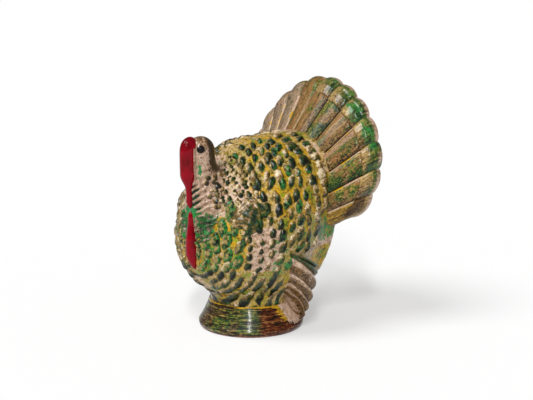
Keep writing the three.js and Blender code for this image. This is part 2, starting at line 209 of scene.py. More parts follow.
# Tail fan, with feathers of uneven width
TAIL_ROOT_Y = -3
TAIL_ROOT_DROP = 2.5
TAIL_REACH = 29.8
TAIL_ROOT_SINK = 18
TAIL_ROOT_SINK_POWER = 3
TAIL_RISE = 11.8
TAIL_LEAN = 6.2
TAIL_RADIUS = 38.3
TAIL_TOP_TAPER = 5.8
TAIL_SPREAD_ANGLE = 124
TAIL_LOW_TAPER = 14.8
TAIL_LOW_TAPER_POWER = 3
TAIL_FEATHERS = 7
TAIL_FEATHER_EDGES = (0, 16, 31, 46, 61.5, 77.5, 94, 124)
TAIL_SCALLOP = 1.2
TAIL_CROWN = 1
TAIL_CROWN_POWER = 12
TAIL_SHINGLE = 0.35
TAIL_TIP_STEP = 0.5
TAIL_EDGE = 2.2
TAIL_BACK_BULGE = 6
PAD_START = 0.893
PAD_LENGTH = 0.09
PAD_UNEVENNESS = 0.008
PAD_PUFF = 0.2
PAD_GROOVE = 0.15
LEFT_PAD_EDGE = 0.12
RIGHT_PAD_EDGE = 0.6
FAN_SHEET_START = 0.3
FAN_PAD_SHEET_START = 0.86
FAN_EDGE_START = 0.985
FAN_COLUMNS = 28
FAN_SHEET_STEPS = 80
FAN_PAD_SHEET_STEPS = 50
FAN_EDGE_STEPS = 12
FAN_BACK_STEPS = 60
FAN_STROKE_LENGTH = 55
FAN_STROKE_WIDTH = 9

# How green each feather of the fan is, and where the green of its tip starts, from the top down
FAN_GREENNESS = (0.35, 0.55, 0.3, 0.2, 0.6, 0.35, 0.3)
FAN_TIP_STARTS = (0.25, 0.4, 0.3, 0.45, 0.3, 0.6, 0.6)

# Drooped wings, with feathers of uneven width that splay from a bunched root
WING_FEATHERS = 6
WING_TIP_EDGES = (0, 0.1, 0.24, 0.5, 0.72, 0.89, 1)
WING_ROOT_EDGES = (0, 0.03, 0.08, 0.4, 0.62, 0.8, 1)
WING_CROWN = 1.7
WING_PROUD = 1.2
WING_EDGE = 1.8
WING_ROOT_DEPTH = 7.2
WING_TIP_RADIUS = 24.7
WING_TIP_ANGLE = 122
WING_TIP_TOP = 24.8
WING_TIP_FOOT = 2.6
WING_TIP_DRAW = 6
WING_SCALLOP = 0.7
WING_BOW = 1.5
WING_ROOT_TOP_Y = -4
WING_ROOT_TOP_ANGLE = 104
WING_ROOT_FOOT_Y = 3
WING_ROOT_SLANT = 0.3
WING_ROOT_FOOT_ANGLE = 146
WING_EDGE_START = 0.97
WING_COLUMNS = 22
WING_SHEET_STEPS = 70
WING_EDGE_STEPS = 10
WING_BACK_STEPS = 12
WING_STROKE_LENGTH = 40
WING_STROKE_WIDTH = 5

# Shifts that give each feather and each side its own brush strokes
FEATHER_STROKE_SHIFT = 40
SIDE_STROKE_SHIFT = 7.0


# Small maths

def lerp(a, b, t):
    return a + (b - a) * t


def fade(x, low, high):
    t = np.clip((x - low) / (high - low), 0, 1)
    return t * t * (3 - 2 * t)


def round_off(past, length):
    """Rounds a size off to nothing over a length, like a quarter of an ellipse."""
    t = np.clip(past / length, 0, 1)
    return np.sqrt(1 - t * t)


def spot(value, middle, reach):
    return np.exp(-((value - middle) / reach) ** 2)


def crowned(across, power):
    return 1 - np.abs(2 * across - 1) ** power


def unit(v):
    return v / np.maximum(np.linalg.norm(v, axis=-1, keepdims=True), 1e-9)


def xyz(x, y, z):
    return np.stack(np.broadcast_arrays(x, y, z), axis=-1).astype(float)


def full_turn(steps):
    return np.linspace(0, 2 * math.pi, steps + 1)[:-1]


def grid_normals(points):
    """Unit normals of a grid of points, all on one side of it."""
    return unit(np.cross(np.gradient(points, axis=1), np.gradient(points, axis=0)))


def ripple(points, length, seed):
    """Smooth unevenness between about -1 and 1, with waves of about a length."""
    rng = np.random.default_rng(seed)
    count = 7
    waves = unit(rng.normal(size=(count, 3))) * rng.uniform(0.7, 1.5, (count, 1)) * 2 * math.pi / length
    phases = rng.uniform(0, 2 * math.pi, count)
    return np.sin(points @ waves.T + phases).mean(axis=-1) * 1.6


# Forms of the figure, as in the solids apart from the feathers of the fan and wings

def body_section(y):
    t = fade(y, 0, RUMP_REACH)
    forward = np.maximum(-y / BREAST_REACH, 0)
    front = round_off(-y, BREAST_REACH)
    rear = round_off(y - RUMP_REACH, RUMP_ROUNDING)
    size = np.where(y < 0, front, rear)
    centre = BODY_Z + RUMP_RISE * t - BREAST_DROP * forward ** 2
    half_width = lerp(BODY_HALF_WIDTH, RUMP_HALF_WIDTH, t) * size
    above = lerp(BODY_CROWN, RUMP_CROWN, t) * size
    below = lerp(BODY_DEPTH, RUMP_DEPTH, t) * size * (1 - BELLY_TUCK * forward)
    return centre, CHEST_TAPER * forward, half_width, above, below


def body_point(y, angle):
    """Place on the left side of the body: angle 0 is the ridge of the back, 180 the belly."""
    centre, taper, half_width, above, below = body_section(y)
    turn = np.radians(angle)
    rise = np.cos(turn)
    narrowing = 1 - taper * np.maximum(rise, 0)
    height = np.where(rise > 0, above, below)
    return xyz(np.sin(turn) * half_width * narrowing, y, centre + rise * height)


def body_clearance(points):
    """About how far points stand outside the plain body."""
    centre, _, half_width, above, below = body_section(points[..., 1])
    rise = points[..., 2] - centre
    height = np.maximum(np.where(rise > 0, above, below), 0.1)
    away = np.hypot(points[..., 0] / np.maximum(half_width, 0.1), rise / height)
    return (away - 1) * np.minimum(half_width, height)


def shoulder_middle():
    return body_point(np.array(float(SHOULDER_Y)), np.array(float(SHOULDER_ANGLE)))


def shoulder_distance(points):
    """Distance from the middle of the shoulder boss, as a share of its radius."""
    return np.linalg.norm(points - shoulder_middle(), axis=-1) / SHOULDER_RADIUS


def head_section(z):
    cheek = HEAD_TOP - HEAD_HALF_DEPTH
    t = fade(z, NECK_ROOT_Z, cheek)
    size = round_off(z - cheek, HEAD_TOP - cheek)
    y = -BREAST_REACH + lerp(NECK_ROOT_SETBACK, HEAD_SETBACK, t)
    half_width = lerp(NECK_ROOT_HALF_WIDTH, HEAD_HALF_WIDTH, t) * size
    half_depth = lerp(NECK_ROOT_HALF_WIDTH, HEAD_HALF_DEPTH, t) * size
    return y, half_width, half_depth


def breast_line(z):
    """Front of the breast on the middle line, at heights z."""
    y = np.linspace(0, -BREAST_REACH, BREAST_LINE_SAMPLES)
    centre, _, _, above, below = body_section(y)
    spans = (z[:, None] < centre + above) & (z[:, None] > centre - below)
    last = spans.shape[1] - 1 - np.argmax(spans[:, ::-1], axis=1)
    return np.where(spans.any(axis=1), y[last], 0)


def front_line(z):
    """Front of the whole bird on the middle line, at heights z."""
    y, _, half_depth = head_section(z)
    breast = breast_line(z)
    return np.where(z > NECK_ROOT_Z, np.minimum(y - half_depth, breast), breast)


def tail_rim(angle, across):
    low = (np.abs(angle) / TAIL_SPREAD_ANGLE) ** TAIL_LOW_TAPER_POWER
    turn = np.radians(angle)
    high = np.maximum(np.cos(turn), 0)
    radius = TAIL_RADIUS - TAIL_LOW_TAPER * low - TAIL_SCALLOP * (2 * across - 1) ** 2
    x = (radius - TAIL_TOP_TAPER * high ** 2) * np.sin(turn)
    return xyz(x, TAIL_REACH + TAIL_LEAN * high, BODY_Z + TAIL_RISE + radius * np.cos(turn))


def wing_root(t):
    y = lerp(WING_ROOT_TOP_Y, WING_ROOT_FOOT_Y, t)
    angle = lerp(WING_ROOT_TOP_ANGLE, WING_ROOT_FOOT_ANGLE, t)
    turn = np.radians(angle)
    out = xyz(np.sin(turn), 0, np.cos(turn))
    return body_point(y, angle) + WING_PROUD * out


def wing_tip(t, across):
    radius = WING_TIP_RADIUS - WING_TIP_DRAW * t ** 2 - WING_SCALLOP * (2 * across - 1) ** 2
    turn = math.radians(WING_TIP_ANGLE)
    return xyz(radius * math.sin(turn), -radius * math.cos(turn), lerp(WING_TIP_TOP, WING_TIP_FOOT, t))


# Plumage: carved feathers in staggered rows

@dataclass
class Style:
    """Looks of one kind of feather. Sizes are shares of the spacing, and pairs run from front to rear.

    The pale side of a feather lies up and forward of its middle, by the two parts of pale: its paint is
    lighter there as painted light, and darker on the opposite side as painted shade.
    A feather stands every so many steps of a ring, on every so many rings.
    """
    length: float
    width: float
    tilt: tuple
    tone: tuple
    green: float
    relief: float = 1.0
    pale: tuple = PALE_SIDE
    loose: float = 1.0
    leaf: float = 0.0
    steps: int = 2
    rings: int = 2


STYLES = {
    "nape": Style(0.54, 0.48, (20, 30), (0.66, 0.62), -0.25, relief=0.65, loose=2, steps=1, rings=1),
    "cape": Style(0.6, 0.33, (26, 36), (0.35, 0.42), 0.25),
    "coverts": Style(0.56, 0.36, (12, 36), (0.28, 0.33), 0.3),
    "rear": Style(0.66, 0.34, (40, 60), (0.38, 0.52), 0.15, rings=3),
    "flank": Style(0.42, 0.3, (25, 25), (0.36, 0.36), 0.05),
    "breast": Style(0.6, 0.4, (30, 30), (0.45, 0.45), 0.75, relief=0.9, leaf=1.0, steps=4),
    "belly": Style(0.66, 0.31, (0, 12), (0.24, 0.24), 0.15,
                   relief=0.75, pale=(0.3, 1.0), loose=0.4, steps=4),
}


@dataclass
class Feather:
    centre: np.ndarray
    along: np.ndarray
    side: np.ndarray
    pale: np.ndarray
    half_length: float
    half_width: float
    height: float
    tone: float
    green: float = 0.0
    leaf: float = 0.0


def ring_place(ring):
    """Place of a ring along the body, as in the solids."""
    if ring < BREAST_RINGS:
        return -BREAST_REACH * math.cos(ring / BREAST_RINGS * math.pi / 2)
    return RUMP_REACH * (ring - BREAST_RINGS) / BACK_RINGS


def is_bare(point):
    """Places without feathers: the seam strip, the neck, the boss, under the wing and at the fan."""
    x, y, z = point
    neck_y, neck_half, _ = head_section(z)
    on_neck = z > NECK_ROOT_Z and math.hypot(x, y - neck_y) < neck_half + NECK_MARGIN
    under_wing = z < COVERT_FOOT and y > WING_ROOT_TOP_Y + WING_ROOT_SLANT * (COVERT_FOOT - z)
    on_boss = shoulder_distance(point) < 1
    on_fan_root = y > FAN_ROOT_START and z < FAN_ROOT_TOP
    return x < PLAIN_STRIP or on_neck or under_wing or on_boss or on_fan_root


def kind_at(point):
    _, y, z = point
    if y < NAPE_END and z > NAPE_FOOT:
        return "nape"
    if z < BELLY_FEATHER_TOP:
        return "belly"
    if y < BREAST_FEATHER_END:
        return "breast"
    if y < FLANK_FEATHER_END and z < FLANK_FEATHER_TOP:
        return "flank"
    if y > REAR_FEATHER_START:
        return "rear"
    return "coverts" if z < CAPE_FEATHER_FOOT else "cape"


def stands(style, ring, step):
    """Whether a feather of the staggered rows stands at a step of a ring."""
    stagger = style.steps // 2
    row, rest = divmod(ring, style.rings)
    return rest == 0 and (step + stagger * row) % style.steps == stagger


def step_off_edge(point):
    """How far a feather moves up or down to leave the edge under the cape clear."""
    _, y, z = point
    off = z - CAPE_EDGE
    if abs(off) > CAPE_EDGE_ROOM or not NAPE_END < y < CAPE_EDGE_END:
        return 0
    return math.copysign(CAPE_EDGE_ROOM - abs(off), off)


def make_feather(style, y, angle, rng):
    half_step = 180 / RING_STEPS * style.steps
    ys = np.array([y, y + 0.05, y, y])
    angles = np.array([angle, angle, angle - half_step, angle + half_step])
    here, behind, above, under = body_point(ys, angles)
    row_gap = BREAST_REACH * math.pi / 2 / BREAST_RINGS * style.rings
    back = unit(behind - here)
    normal = unit(np.cross(back, above - under))
    up = np.cross(normal, back)
    share = fade(y, BREAST_FEATHER_END, RUMP_REACH)
    tilt = math.radians(lerp(*style.tilt, share) + rng.normal(0, FEATHER_TILT_SPREAD * style.loose))
    along = up * math.cos(tilt) + back * math.sin(tilt)
    size = rng.uniform(*FEATHER_SIZES) * (1 + REAR_FEATHER_GROWTH * share)
    nudge = rng.normal(0, FEATHER_NUDGE_SPREAD * style.loose, 2)
    nudge[0] += step_off_edge(here)
    return Feather(
        centre=here + nudge[0] * up + nudge[1] * back,
        along=along,
        side=np.cross(normal, along),
        pale=unit(lerp(style.pale[0], 1, share) * up - lerp(style.pale[1], 0.1, share) * back),
        half_length=style.length * np.linalg.norm(above - under) * size,
        half_width=style.width * row_gap * size * rng.uniform(*FEATHER_WIDTHS),
        height=BODY_FEATHER_RELIEF * style.relief * rng.uniform(*FEATHER_HEIGHTS),
        tone=lerp(*style.tone, share) + rng.normal(0, FEATHER_COLOUR_SPREAD),
        green=style.green + rng.normal(0, FEATHER_COLOUR_SPREAD),
        leaf=style.leaf)


def lay_plumage():
    rng = np.random.default_rng(SEED)
    feathers = []
    for ring in range(2, BREAST_RINGS + BACK_RINGS - 2):
        for step in range(1, RING_STEPS // 2):
            y, angle = ring_place(ring), 360 * step / RING_STEPS
            point = body_point(np.array(y), np.array(angle))
            style = STYLES[kind_at(point)]
            if stands(style, ring, step) and not is_bare(point):
                feathers.append(make_feather(style, y, angle, rng))
    return feathers


def lay_ruff():
    """Small scales on the left side of the neck, which the right side mirrors."""
    rng = np.random.default_rng(SEED + 1)
    scales = []
    for row, z in enumerate(np.arange(RUFF_SCALE_FOOT, RUFF_SCALE_TOP, RUFF_SCALE_GAP)):
        y, half_width, half_depth = head_section(np.array(z))
        start = RUFF_TURN_START + RUFF_TURN_STEP / 2 * (row % 2)
        for turn in np.arange(start, RUFF_TURN_END, RUFF_TURN_STEP * NECK_ROOT_HALF_WIDTH / half_width):
            out = np.array([math.sin(turn), -math.cos(turn), 0])
            side = np.array([math.cos(turn), math.sin(turn), 0])
            place = out * [half_width, half_depth, 0] + [0, y, z]
            scales.append(Feather(
                centre=place + rng.normal(0, RUFF_NUDGE_SPREAD, 3),
                along=UPWARD,
                side=-side,
                # The scale is painted lighter on this side as painted light, and darker on the other as
                # painted shade
                pale=unit(PALE_SIDE[0] * UPWARD - PALE_SIDE[1] * side),
                half_length=RUFF_SCALE_GAP * rng.uniform(*RUFF_SCALE_LENGTHS),
                half_width=RUFF_SCALE_GAP * rng.uniform(*RUFF_SCALE_WIDTHS),
                height=rng.uniform(*RUFF_SCALE_HEIGHTS),
                tone=rng.normal(RUFF_SCALE_TONE, RUFF_TONE_SPREAD)))
    return scales


def carve(points, feathers):
    """Height of the carving at points, and marks of the feather that each lies on or nearest to."""
    shape = points.shape[:-1]
    flat = points.reshape(-1, 3)
    waves = [ripple(flat, FEATHER_EDGE_WAVE, seed) for seed in (21, 22, 23)]
    flat = flat + FEATHER_EDGE_WANDER * np.stack(waves, axis=-1)
    lift, lean, tone, green, leaf = (np.zeros(len(flat)) for _ in range(5))
    crest = np.full(len(flat), -1.0)
    for f in feathers:
        offset = flat - f.centre
        near = np.nonzero((offset ** 2).sum(axis=1) < (1.5 * f.half_length) ** 2)[0]
        u = offset[near] @ f.along / f.half_length
        v = offset[near] @ f.side / f.half_width
        inside = 1 - u ** 2 - v ** 2
        rise = f.height * np.clip(inside, 0, 1) ** FEATHER_ROUNDNESS
        rise = rise * (1 - FEATHER_TIP_SLOPE * u - FEATHER_SIDE_SLOPE * v)
        lift[near] = np.maximum(lift[near], rise)
        nearest = inside > crest[near]
        best = near[nearest]
        crest[best] = inside[nearest]
        # lean: how far a place lies towards the feather's pale side, which the paint makes lighter as
        # painted light, or away from it, which it makes darker as painted shade
        reach = math.hypot(f.half_length * (f.along @ f.pale), f.half_width * (f.side @ f.pale))
        lean[best] = (offset[near] @ f.pale / reach)[nearest]
        tone[best] = f.tone
        green[best] = f.green
        leaf[best] = f.leaf
    marks = {"crest": crest, "lean": lean, "tone": tone, "green": green, "leaf": leaf}
    return lift.reshape(shape), {key: values.reshape(shape) for key, values in marks.items()}


# Painted areas of the pieces

@dataclass
class Zone:
    """A painted area. Paint fades in from the first to the second place of each pair on an axis.

    A near pair is a middle and a reach, and paint fades out on both sides of the middle.
    """
    strength: float
    x: tuple = ()
    y: tuple = ()
    z: tuple = ()
    near_x: tuple = ()
    near_y: tuple = ()
    near_z: tuple = ()

    def share(self, points):
        share = np.full(points.shape[:-1], float(self.strength))
        fades = (self.x, self.y, self.z)
        middles = (self.near_x, self.near_y, self.near_z)
        for value, pairs, near in zip(np.moveaxis(points, -1, 0), fades, middles):
            for start, full in pairs:
                share = share * fade(value, start, full)
            if near:
                share = share * spot(value, *near)
        return share


def total(zones, points):
    return sum(zone.share(points) for zone in zones)


def strongest(zones, points):
    return np.maximum.reduce([zone.share(points) for zone in zones])


# Where the ground between the feathers is yellow, bare and smeared with green
GOLD_ZONES = {
    "edge under the cape": Zone(1, y=((-21, -17), (CAPE_EDGE_END + 2, 0)), near_z=(CAPE_EDGE, 1.6)),
    "cape": Zone(0.4, y=((-14, -8),), z=((53, 55),)),
    "coverts": Zone(0.7, y=((-13, -5),), z=((34, 42),)),
    "breast": Zone(0.7, y=((-14, -18),), z=((24, 29), (49, 44))),
    "belly": Zone(0.35, z=((28, 22),)),
    "joint with the pedestal": Zone(0.7, z=((14.5, 12.5),)),
    "root of the fan": Zone(1, y=((FAN_ROOT_START - 2, FAN_ROOT_START),), z=((34, 36), (50, 47))),
    "behind the wing": Zone(1.2, x=((5, 11),), y=((9, 13),), z=((20, 22), (31, 29))),
}
PINK_ZONES = {
    "under the cape": Zone(1, y=((-13, -16),), near_z=(51, 2.2)),
    "flank": Zone(1.3, z=((24, 28), (43, 40)), near_y=(-12, 5.5)),
    "beside the neck": Zone(0.8, y=((-19, -22),), z=((43, 46),)),
    "nape": Zone(0.6, y=((-10, -15),), z=((48, 51),)),
    "belly": Zone(0.35, y=((-14, -20),), z=((29, 25),)),
    "beside the fan": Zone(0.5, y=((10, 16),), z=((55, 58),)),
    "beside the wing": Zone(0.4, y=((-6, -2),), z=((20, 16),)),
}
RUMP_PINK = Zone(0.9, y=((6, 9),), z=((36, 33),))
RUMP_PINK_SLANT = 0.8
RUMP_PINK_EDGE = (32, 46)
SMEAR_ZONES = {
    "everywhere": Zone(0.12),
    "beside the wing": Zone(0.4, z=((42, 36), (14, 18)), near_y=(WING_ROOT_TOP_Y - 3, 4)),
    "beside the wattle": Zone(0.5, y=((-18, -22),), z=((24, 28), (50, 46)), near_x=(7, 3.5)),
    "rump": Zone(0.3, x=((5, 11),), y=((7, 12),), z=((31, 33), (44, 38))),
    "coverts": Zone(0.3, y=((-4, 0),), z=((48, 42), (31, 34))),
}

# The right half of the body is painted browner and barer
RIGHT_HALF_SHIFTS = {"gold": -0.25, "green": -0.4, "smear": -0.25, "pink": 0.2}

# On the head, x is the turn from the front in radians
HEAD_ZONES = {
    "crown": [Zone(1, z=((65, 71),))],
    "nape": [Zone(0.9, x=((1.1, 1.8),), z=((57, 61), (75, 70)))],
    "bib": [Zone(0.7, z=((49, 44),))],
    "dabs": [Zone(0.62, near_x=(0.75, 0.3), near_z=(60, 5)),
             Zone(1.5, near_x=(0, 0.5), near_z=(SNOOD_TOP - SNOOD_LENGTH - 1, 2.4))],
}
NECK_FOLD_HEIGHT = Zone(0.8, x=((0.1, 0.3), (1.4, 1)), z=((60, 53),))
NECK_FOLD_PAINT = Zone(1, x=((1, 0.3),), z=((60, 53), (43, 46)))

# On the pedestal, x is the turn in radians and y the turn from the slanted chip
PEDESTAL_ZONES = {
    "rust": [Zone(1, x=((-0.75, -0.3), (1.6, 1.0)))],
    "chip": [Zone(1.1, z=((1.5, 4.0),), near_y=(0, 0.36))],
    "gilded": [Zone(0.8, z=((3, 6),), near_y=(-0.36, 0.14)), Zone(0.65, z=((9.2, 10.2),))],
    "foot": [Zone(1, z=((1.5, 0.5),))],
}


# Meshes

def loft_quads(rows, around):
    i = np.arange(rows - 1)[:, None] * around
    j = np.arange(around)[None, :]
    k = (j + 1) % around
    return np.stack([i + j, i + k, i + k + around, i + j + around], axis=-1).reshape(-1, 4)


def without_repeats(corners):
    return list(dict.fromkeys(corners))


def signed_volume(points, quads):
    a, b, c, d = (points[quads[:, i]] for i in range(4))
    return (np.cross(a, b) * c + np.cross(a, c) * d).sum()


def closed_faces(points, rows, around):
    """Faces through rings of points, turned out, with repeated points joined and both ends filled."""
    _, kept, where = np.unique(np.round(points, 5), axis=0, return_index=True, return_inverse=True)
    where = where.ravel()
    quads = where[loft_quads(rows, around)]
    ordered = np.sort(quads, axis=1)
    folded = (ordered[:, 1:] == ordered[:, :-1]).any(axis=1)
    ends = [where[:around][::-1], where[-around:]]
    odd = [without_repeats(face.tolist()) for face in [*quads[folded], *ends]]
    faces = quads[~folded].tolist() + [face for face in odd if len(face) > 2]
    if signed_volume(points[kept] - points.mean(axis=0), quads) < 0:
        faces = [face[::-1] for face in faces]
    return kept, faces


def add_object(name, data):
    thing = bpy.data.objects.new(name, data)
    bpy.context.scene.collection.objects.link(thing)
    return thing


def add_marks(mesh, marks, kept):
    for key, values in marks.items():
        if values.ndim == 3:
            layer = mesh.attributes.new(key, "FLOAT_VECTOR", "POINT")
            layer.data.foreach_set("vector", values.reshape(-1, 3)[kept].astype(np.float32).ravel())
        else:
            layer = mesh.attributes.new(key, "FLOAT", "POINT")
            layer.data.foreach_set("value", values.ravel()[kept].astype(np.float32))


def add_piece(name, rings, paint, node, marks=None):
    """Closed mesh through rings of points, with marks for its paint, in place of a solid."""
    rows, around, _ = rings.shape
    points = np.clip(rings.reshape(-1, 3), *(np.array(corner) / MM for corner in cad_box))
    kept, faces = closed_faces(points, rows, around)
    mesh = bpy.data.meshes.new(name)
    mesh.from_pydata((points[kept] * MM).tolist(), [], faces)
    add_marks(mesh, marks or {}, kept)
    mesh.shade_smooth()
    mesh.set_sharp_from_angle(angle=math.radians(SHARP_ANGLE))
    mesh.materials.append(paint)
    piece = add_object(name, mesh)
    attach(piece, "root")
    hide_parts(node)


# Colours

def srgb(text):
    values = [int(text[i:i + 2], 16) / 255 for i in (1, 3, 5)]
    linear = [v / 12.92 if v <= 0.04045 else ((v + 0.055) / 1.055) ** 2.4 for v in values]
    return (*linear, 1)


COLOURS = {
    "undercoat": srgb("#cfb09c"), "beige": srgb("#a98a70"), "pale": srgb("#d9c6a2"),
    "greige": srgb("#8d7b66"), "sand": srgb("#ba9b59"), "khaki": srgb("#9a8438"),
    "ochre": srgb("#7a6125"), "mustard": srgb("#b08410"), "gold": srgb("#d2a41e"),
    "black_green": srgb("#0c120a"), "deep_green": srgb("#1b3a1b"), "bright_green": srgb("#278438"),
    "teal": srgb("#1a6444"), "moss": srgb("#456020"), "lime": srgb("#8a9424"),
    "olive": srgb("#464414"), "umber": srgb("#402e18"), "brown": srgb("#6f4f29"),
    "hazel": srgb("#84683f"), "russet": srgb("#8f5c2c"), "tan": srgb("#9c8152"),
    "crimson": srgb("#8c0016"), "maroon": srgb("#64000a"), "rust": srgb("#682a0e"),
    # The darkest brown serves for dark strokes and seams, and also for painted shade round the feathers and
    # neck scales
    "dirt": srgb("#19140b"), "soot": srgb("#1a1613"), "black": srgb("#050404"),
}

# Scales of the noises in the paint, in waves per metre
WASH_SCALE = 130
BLOTCH_SCALE = 230
SPECK_SCALE = 650
GRAIN_SCALE = 1500


# Paint

class Paint:
    """A painted and varnished surface, put together from shader nodes and painted layer by layer."""

    def __init__(self, name, roughness=0.32, specular=0.15, coat=0.45, coat_roughness=0.05):
        self.material = bpy.data.materials.new(name)
        self.material.use_nodes = True
        self.tree = self.material.node_tree
        self.shader = self.tree.nodes["Principled BSDF"]
        self.colour = None
        self.shader.inputs["Roughness"].default_value = roughness
        self.shader.inputs["Specular IOR Level"].default_value = specular
        self.shader.inputs["Coat Weight"].default_value = coat
        self.shader.inputs["Coat Roughness"].default_value = coat_roughness

    def node(self, kind, inputs=None, **settings):
        node = self.tree.nodes.new(f"ShaderNode{kind}")
        for key, value in settings.items():
            setattr(node, key, value)
        for key, value in (inputs or {}).items():
            self.put(node.inputs[key], value)
        return node

    def put(self, socket, value):
        """Gives an input a plain value, the output of a node, or a mark by its name."""
        if isinstance(value, str):
            value = self.node("Attribute", attribute_name=value).outputs["Fac"]
        if isinstance(value, bpy.types.NodeSocket):
            self.tree.links.new(value, socket)
        else:
            socket.default_value = value

    def noise(self, scale, detail, roughness=0.6, stretch=(1, 1, 1), place=None):
        if place is None:
            place = self.node("TexCoord").outputs["Object"]
        place = self.node("Mapping", {"Vector": place, "Scale": stretch}).outputs["Vector"]
        inputs = {"Vector": place, "Scale": scale, "Detail": detail, "Roughness": roughness}
        return self.node("TexNoise", inputs).outputs["Fac"]

    def speck(self):
        return self.noise(SPECK_SCALE, 4, 0.65)

    def grain(self):
        return self.noise(GRAIN_SCALE, 2)

    def strokes(self, along, across, detail, roughness=0.7):
        """A noise drawn out along the flow of the brush."""
        flow = self.node("Attribute", attribute_name="flow").outputs["Vector"]
        return self.noise(1, detail, roughness, (along, across, 1), flow)

    def math(self, operation, a, b):
        return self.node("Math", {0: a, 1: b}, operation=operation).outputs[0]

    def sum(self, a, b):
        return self.math("ADD", a, b)

    def times(self, a, b):
        return self.math("MULTIPLY", a, b)

    def roughen(self, value, *swings):
        """A value that noises push up and down, each by its own amount."""
        for noise, amount in swings:
            value = self.sum(value, self.times(self.math("SUBTRACT", noise, 0.5), amount))
        return value

    def between(self, value, low, high):
        inputs = {"Value": value, "From Min": low, "From Max": high}
        return self.node("MapRange", inputs, interpolation_type="SMOOTHSTEP").outputs["Result"]

    def ramp(self, value, **stops):
        """Colours along a value, each at its own place."""
        node = self.node("ValToRGB", {"Fac": value})
        elements = node.color_ramp.elements
        while len(elements) < len(stops):
            elements.new(0.5)
        for element, (colour, position) in zip(elements, stops.items()):
            element.position = position
            element.color = COLOURS[colour]
        return node.outputs["Color"]

    def mix(self, share, a, b):
        return self.node("Mix", {"Factor": share, 6: a, 7: b}, data_type="RGBA").outputs[2]

    def blend(self, under, over, share, low, high):
        """One colour over another where a share passes between two limits."""
        return self.mix(self.between(share, low, high), under, over)

    def lay(self, colour, low, high, share, *swings):
        """Lays a colour over the paint so far, by a share that noises push up and down."""
        self.colour = self.blend(self.colour, colour, self.roughen(share, *swings), low, high)

    def varnish(self, share, most, least):
        """Varnish that lies thicker where a share is high."""
        self.put(self.shader.inputs["Coat Weight"], self.sum(self.times(share, most), least))

    def finish(self, bump, strength=0.25):
        self.put(self.shader.inputs["Base Color"], self.colour)
        inputs = {"Strength": strength, "Distance": 0.3 * MM, "Height": bump}
        self.put(self.shader.inputs["Normal"], self.node("Bump", inputs).outputs["Normal"])
        return self.material


def mottling(paint, grit):
    """Noises of three sizes, and dust made of the two finer ones."""
    speck = paint.speck()
    grain = paint.grain()
    return paint.noise(BLOTCH_SCALE, 4), speck, grain, paint.roughen(speck, (grain, grit))


def undercoat(paint, dust):
    return paint.ramp(dust, brown=0.22, beige=0.38, undercoat=0.55, pale=0.85)


def raised(paint, lean, dust):
    """How far a place lies up a feather, shifted towards one side of it."""
    return paint.roughen(paint.sum("crest", paint.times("lean", lean)), (dust, 1.2))


def feather_shade(paint, dust):
    """Tone of a feather, lighter on its pale side as painted light and darker on the other as painted shade.
    """
    return paint.roughen(paint.sum("tone", paint.times("lean", 0.5)), (dust, 1.5))


def paint_ground(paint, noises, leafy):
    """Yellow, lime, bare and green patches, with painted shade round the feathers on their darker side."""
    blotch, speck, grain, dust = noises
    wash = paint.noise(WASH_SCALE, 3)
    mottle = paint.roughen(0.5, (speck, 1.5), (grain, 0.7))
    paint.colour = paint.ramp(
        mottle, olive=0.2, ochre=0.33, khaki=0.43, sand=0.54, undercoat=0.66)
    yellow = paint.ramp(mottle, olive=0.22, ochre=0.33, mustard=0.43, gold=0.56, sand=0.7)
    paint.lay(yellow, 0.4, 0.8, "gold", (blotch, 2.4), (speck, 1.2), (wash, 2.0))
    lime = paint.ramp(mottle, deep_green=0.25, moss=0.4, lime=0.6)
    paint.lay(lime, 0.54, 0.72, wash, (speck, 0.9), (blotch, -0.6))
    paint.lay(undercoat(paint, mottle), 0.4, 0.7, "pink", (blotch, 1.4), (speck, 0.9))
    paint.lay(leafy, 0.5, 0.7, "smear", (blotch, 1.2), (dust, 2.2))
    # Painted shade: a dark wash on the ground round each feather, strongest on its shaded side
    painted_shade = paint.ramp(dust, dirt=0.38, olive=0.52, ochre=0.72)
    paint.lay(painted_shade, -0.3, 0.25, raised(paint, -0.6, dust))


def feather_colour(paint, blotch, dust, leafy):
    """Dark green to tan across each feather, as painted shade and light, some washed with green, breast
    leaves tan in the middle.
    """
    colour = paint.ramp(feather_shade(paint, dust), black_green=0.1, deep_green=0.3,
                        olive=0.46, brown=0.62, tan=0.78, pale=1.0)
    green = paint.roughen("green", (blotch, 1.4), (dust, 1.0))
    colour = paint.blend(colour, leafy, paint.sum(green, paint.times("lean", -0.2)), 0.42, 0.8)
    vein = paint.roughen(paint.times("leaf", "crest"), (dust, 1.3))
    return paint.blend(colour, paint.ramp(dust, moss=0.4, tan=0.6), vein, 0.5, 1.0)


def plumage_paint(name):
    """Feathers over a mottled ground, with painted light and shade on their two sides, painted shade on the
    ground round them, and varnish pooled on their pale sides.
    """
    paint = Paint(name)
    noises = mottling(paint, 0.7)
    blotch, speck, grain, dust = noises
    leafy = paint.ramp(dust, black_green=0.28, deep_green=0.42, bright_green=0.56, moss=0.75)
    paint_ground(paint, noises, leafy)
    paint.lay(feather_colour(paint, blotch, dust, leafy), -0.1, 0.25, raised(paint, -0.3, dust))
    pooled = paint.times(paint.between("crest", -0.4, 0.3), paint.between("lean", -0.5, 0.4))
    paint.varnish(pooled, 0.45, 0.12)
    return paint.finish(paint.sum(grain, speck))


def plain_red(name):
    paint = Paint(name, roughness=0.35, specular=0.05, coat=0.2)
    paint.colour = paint.ramp(paint.noise(220, 3), maroon=0.3, crimson=0.55)
    return paint.finish(paint.noise(500, 3), 0.15)


def eye_paint(name):
    paint = Paint(name, roughness=0.4, coat=0.1)
    paint.colour = paint.ramp(paint.noise(900, 2), black=0.3, soot=0.8)
    return paint.finish(paint.noise(600, 2), 0.05)


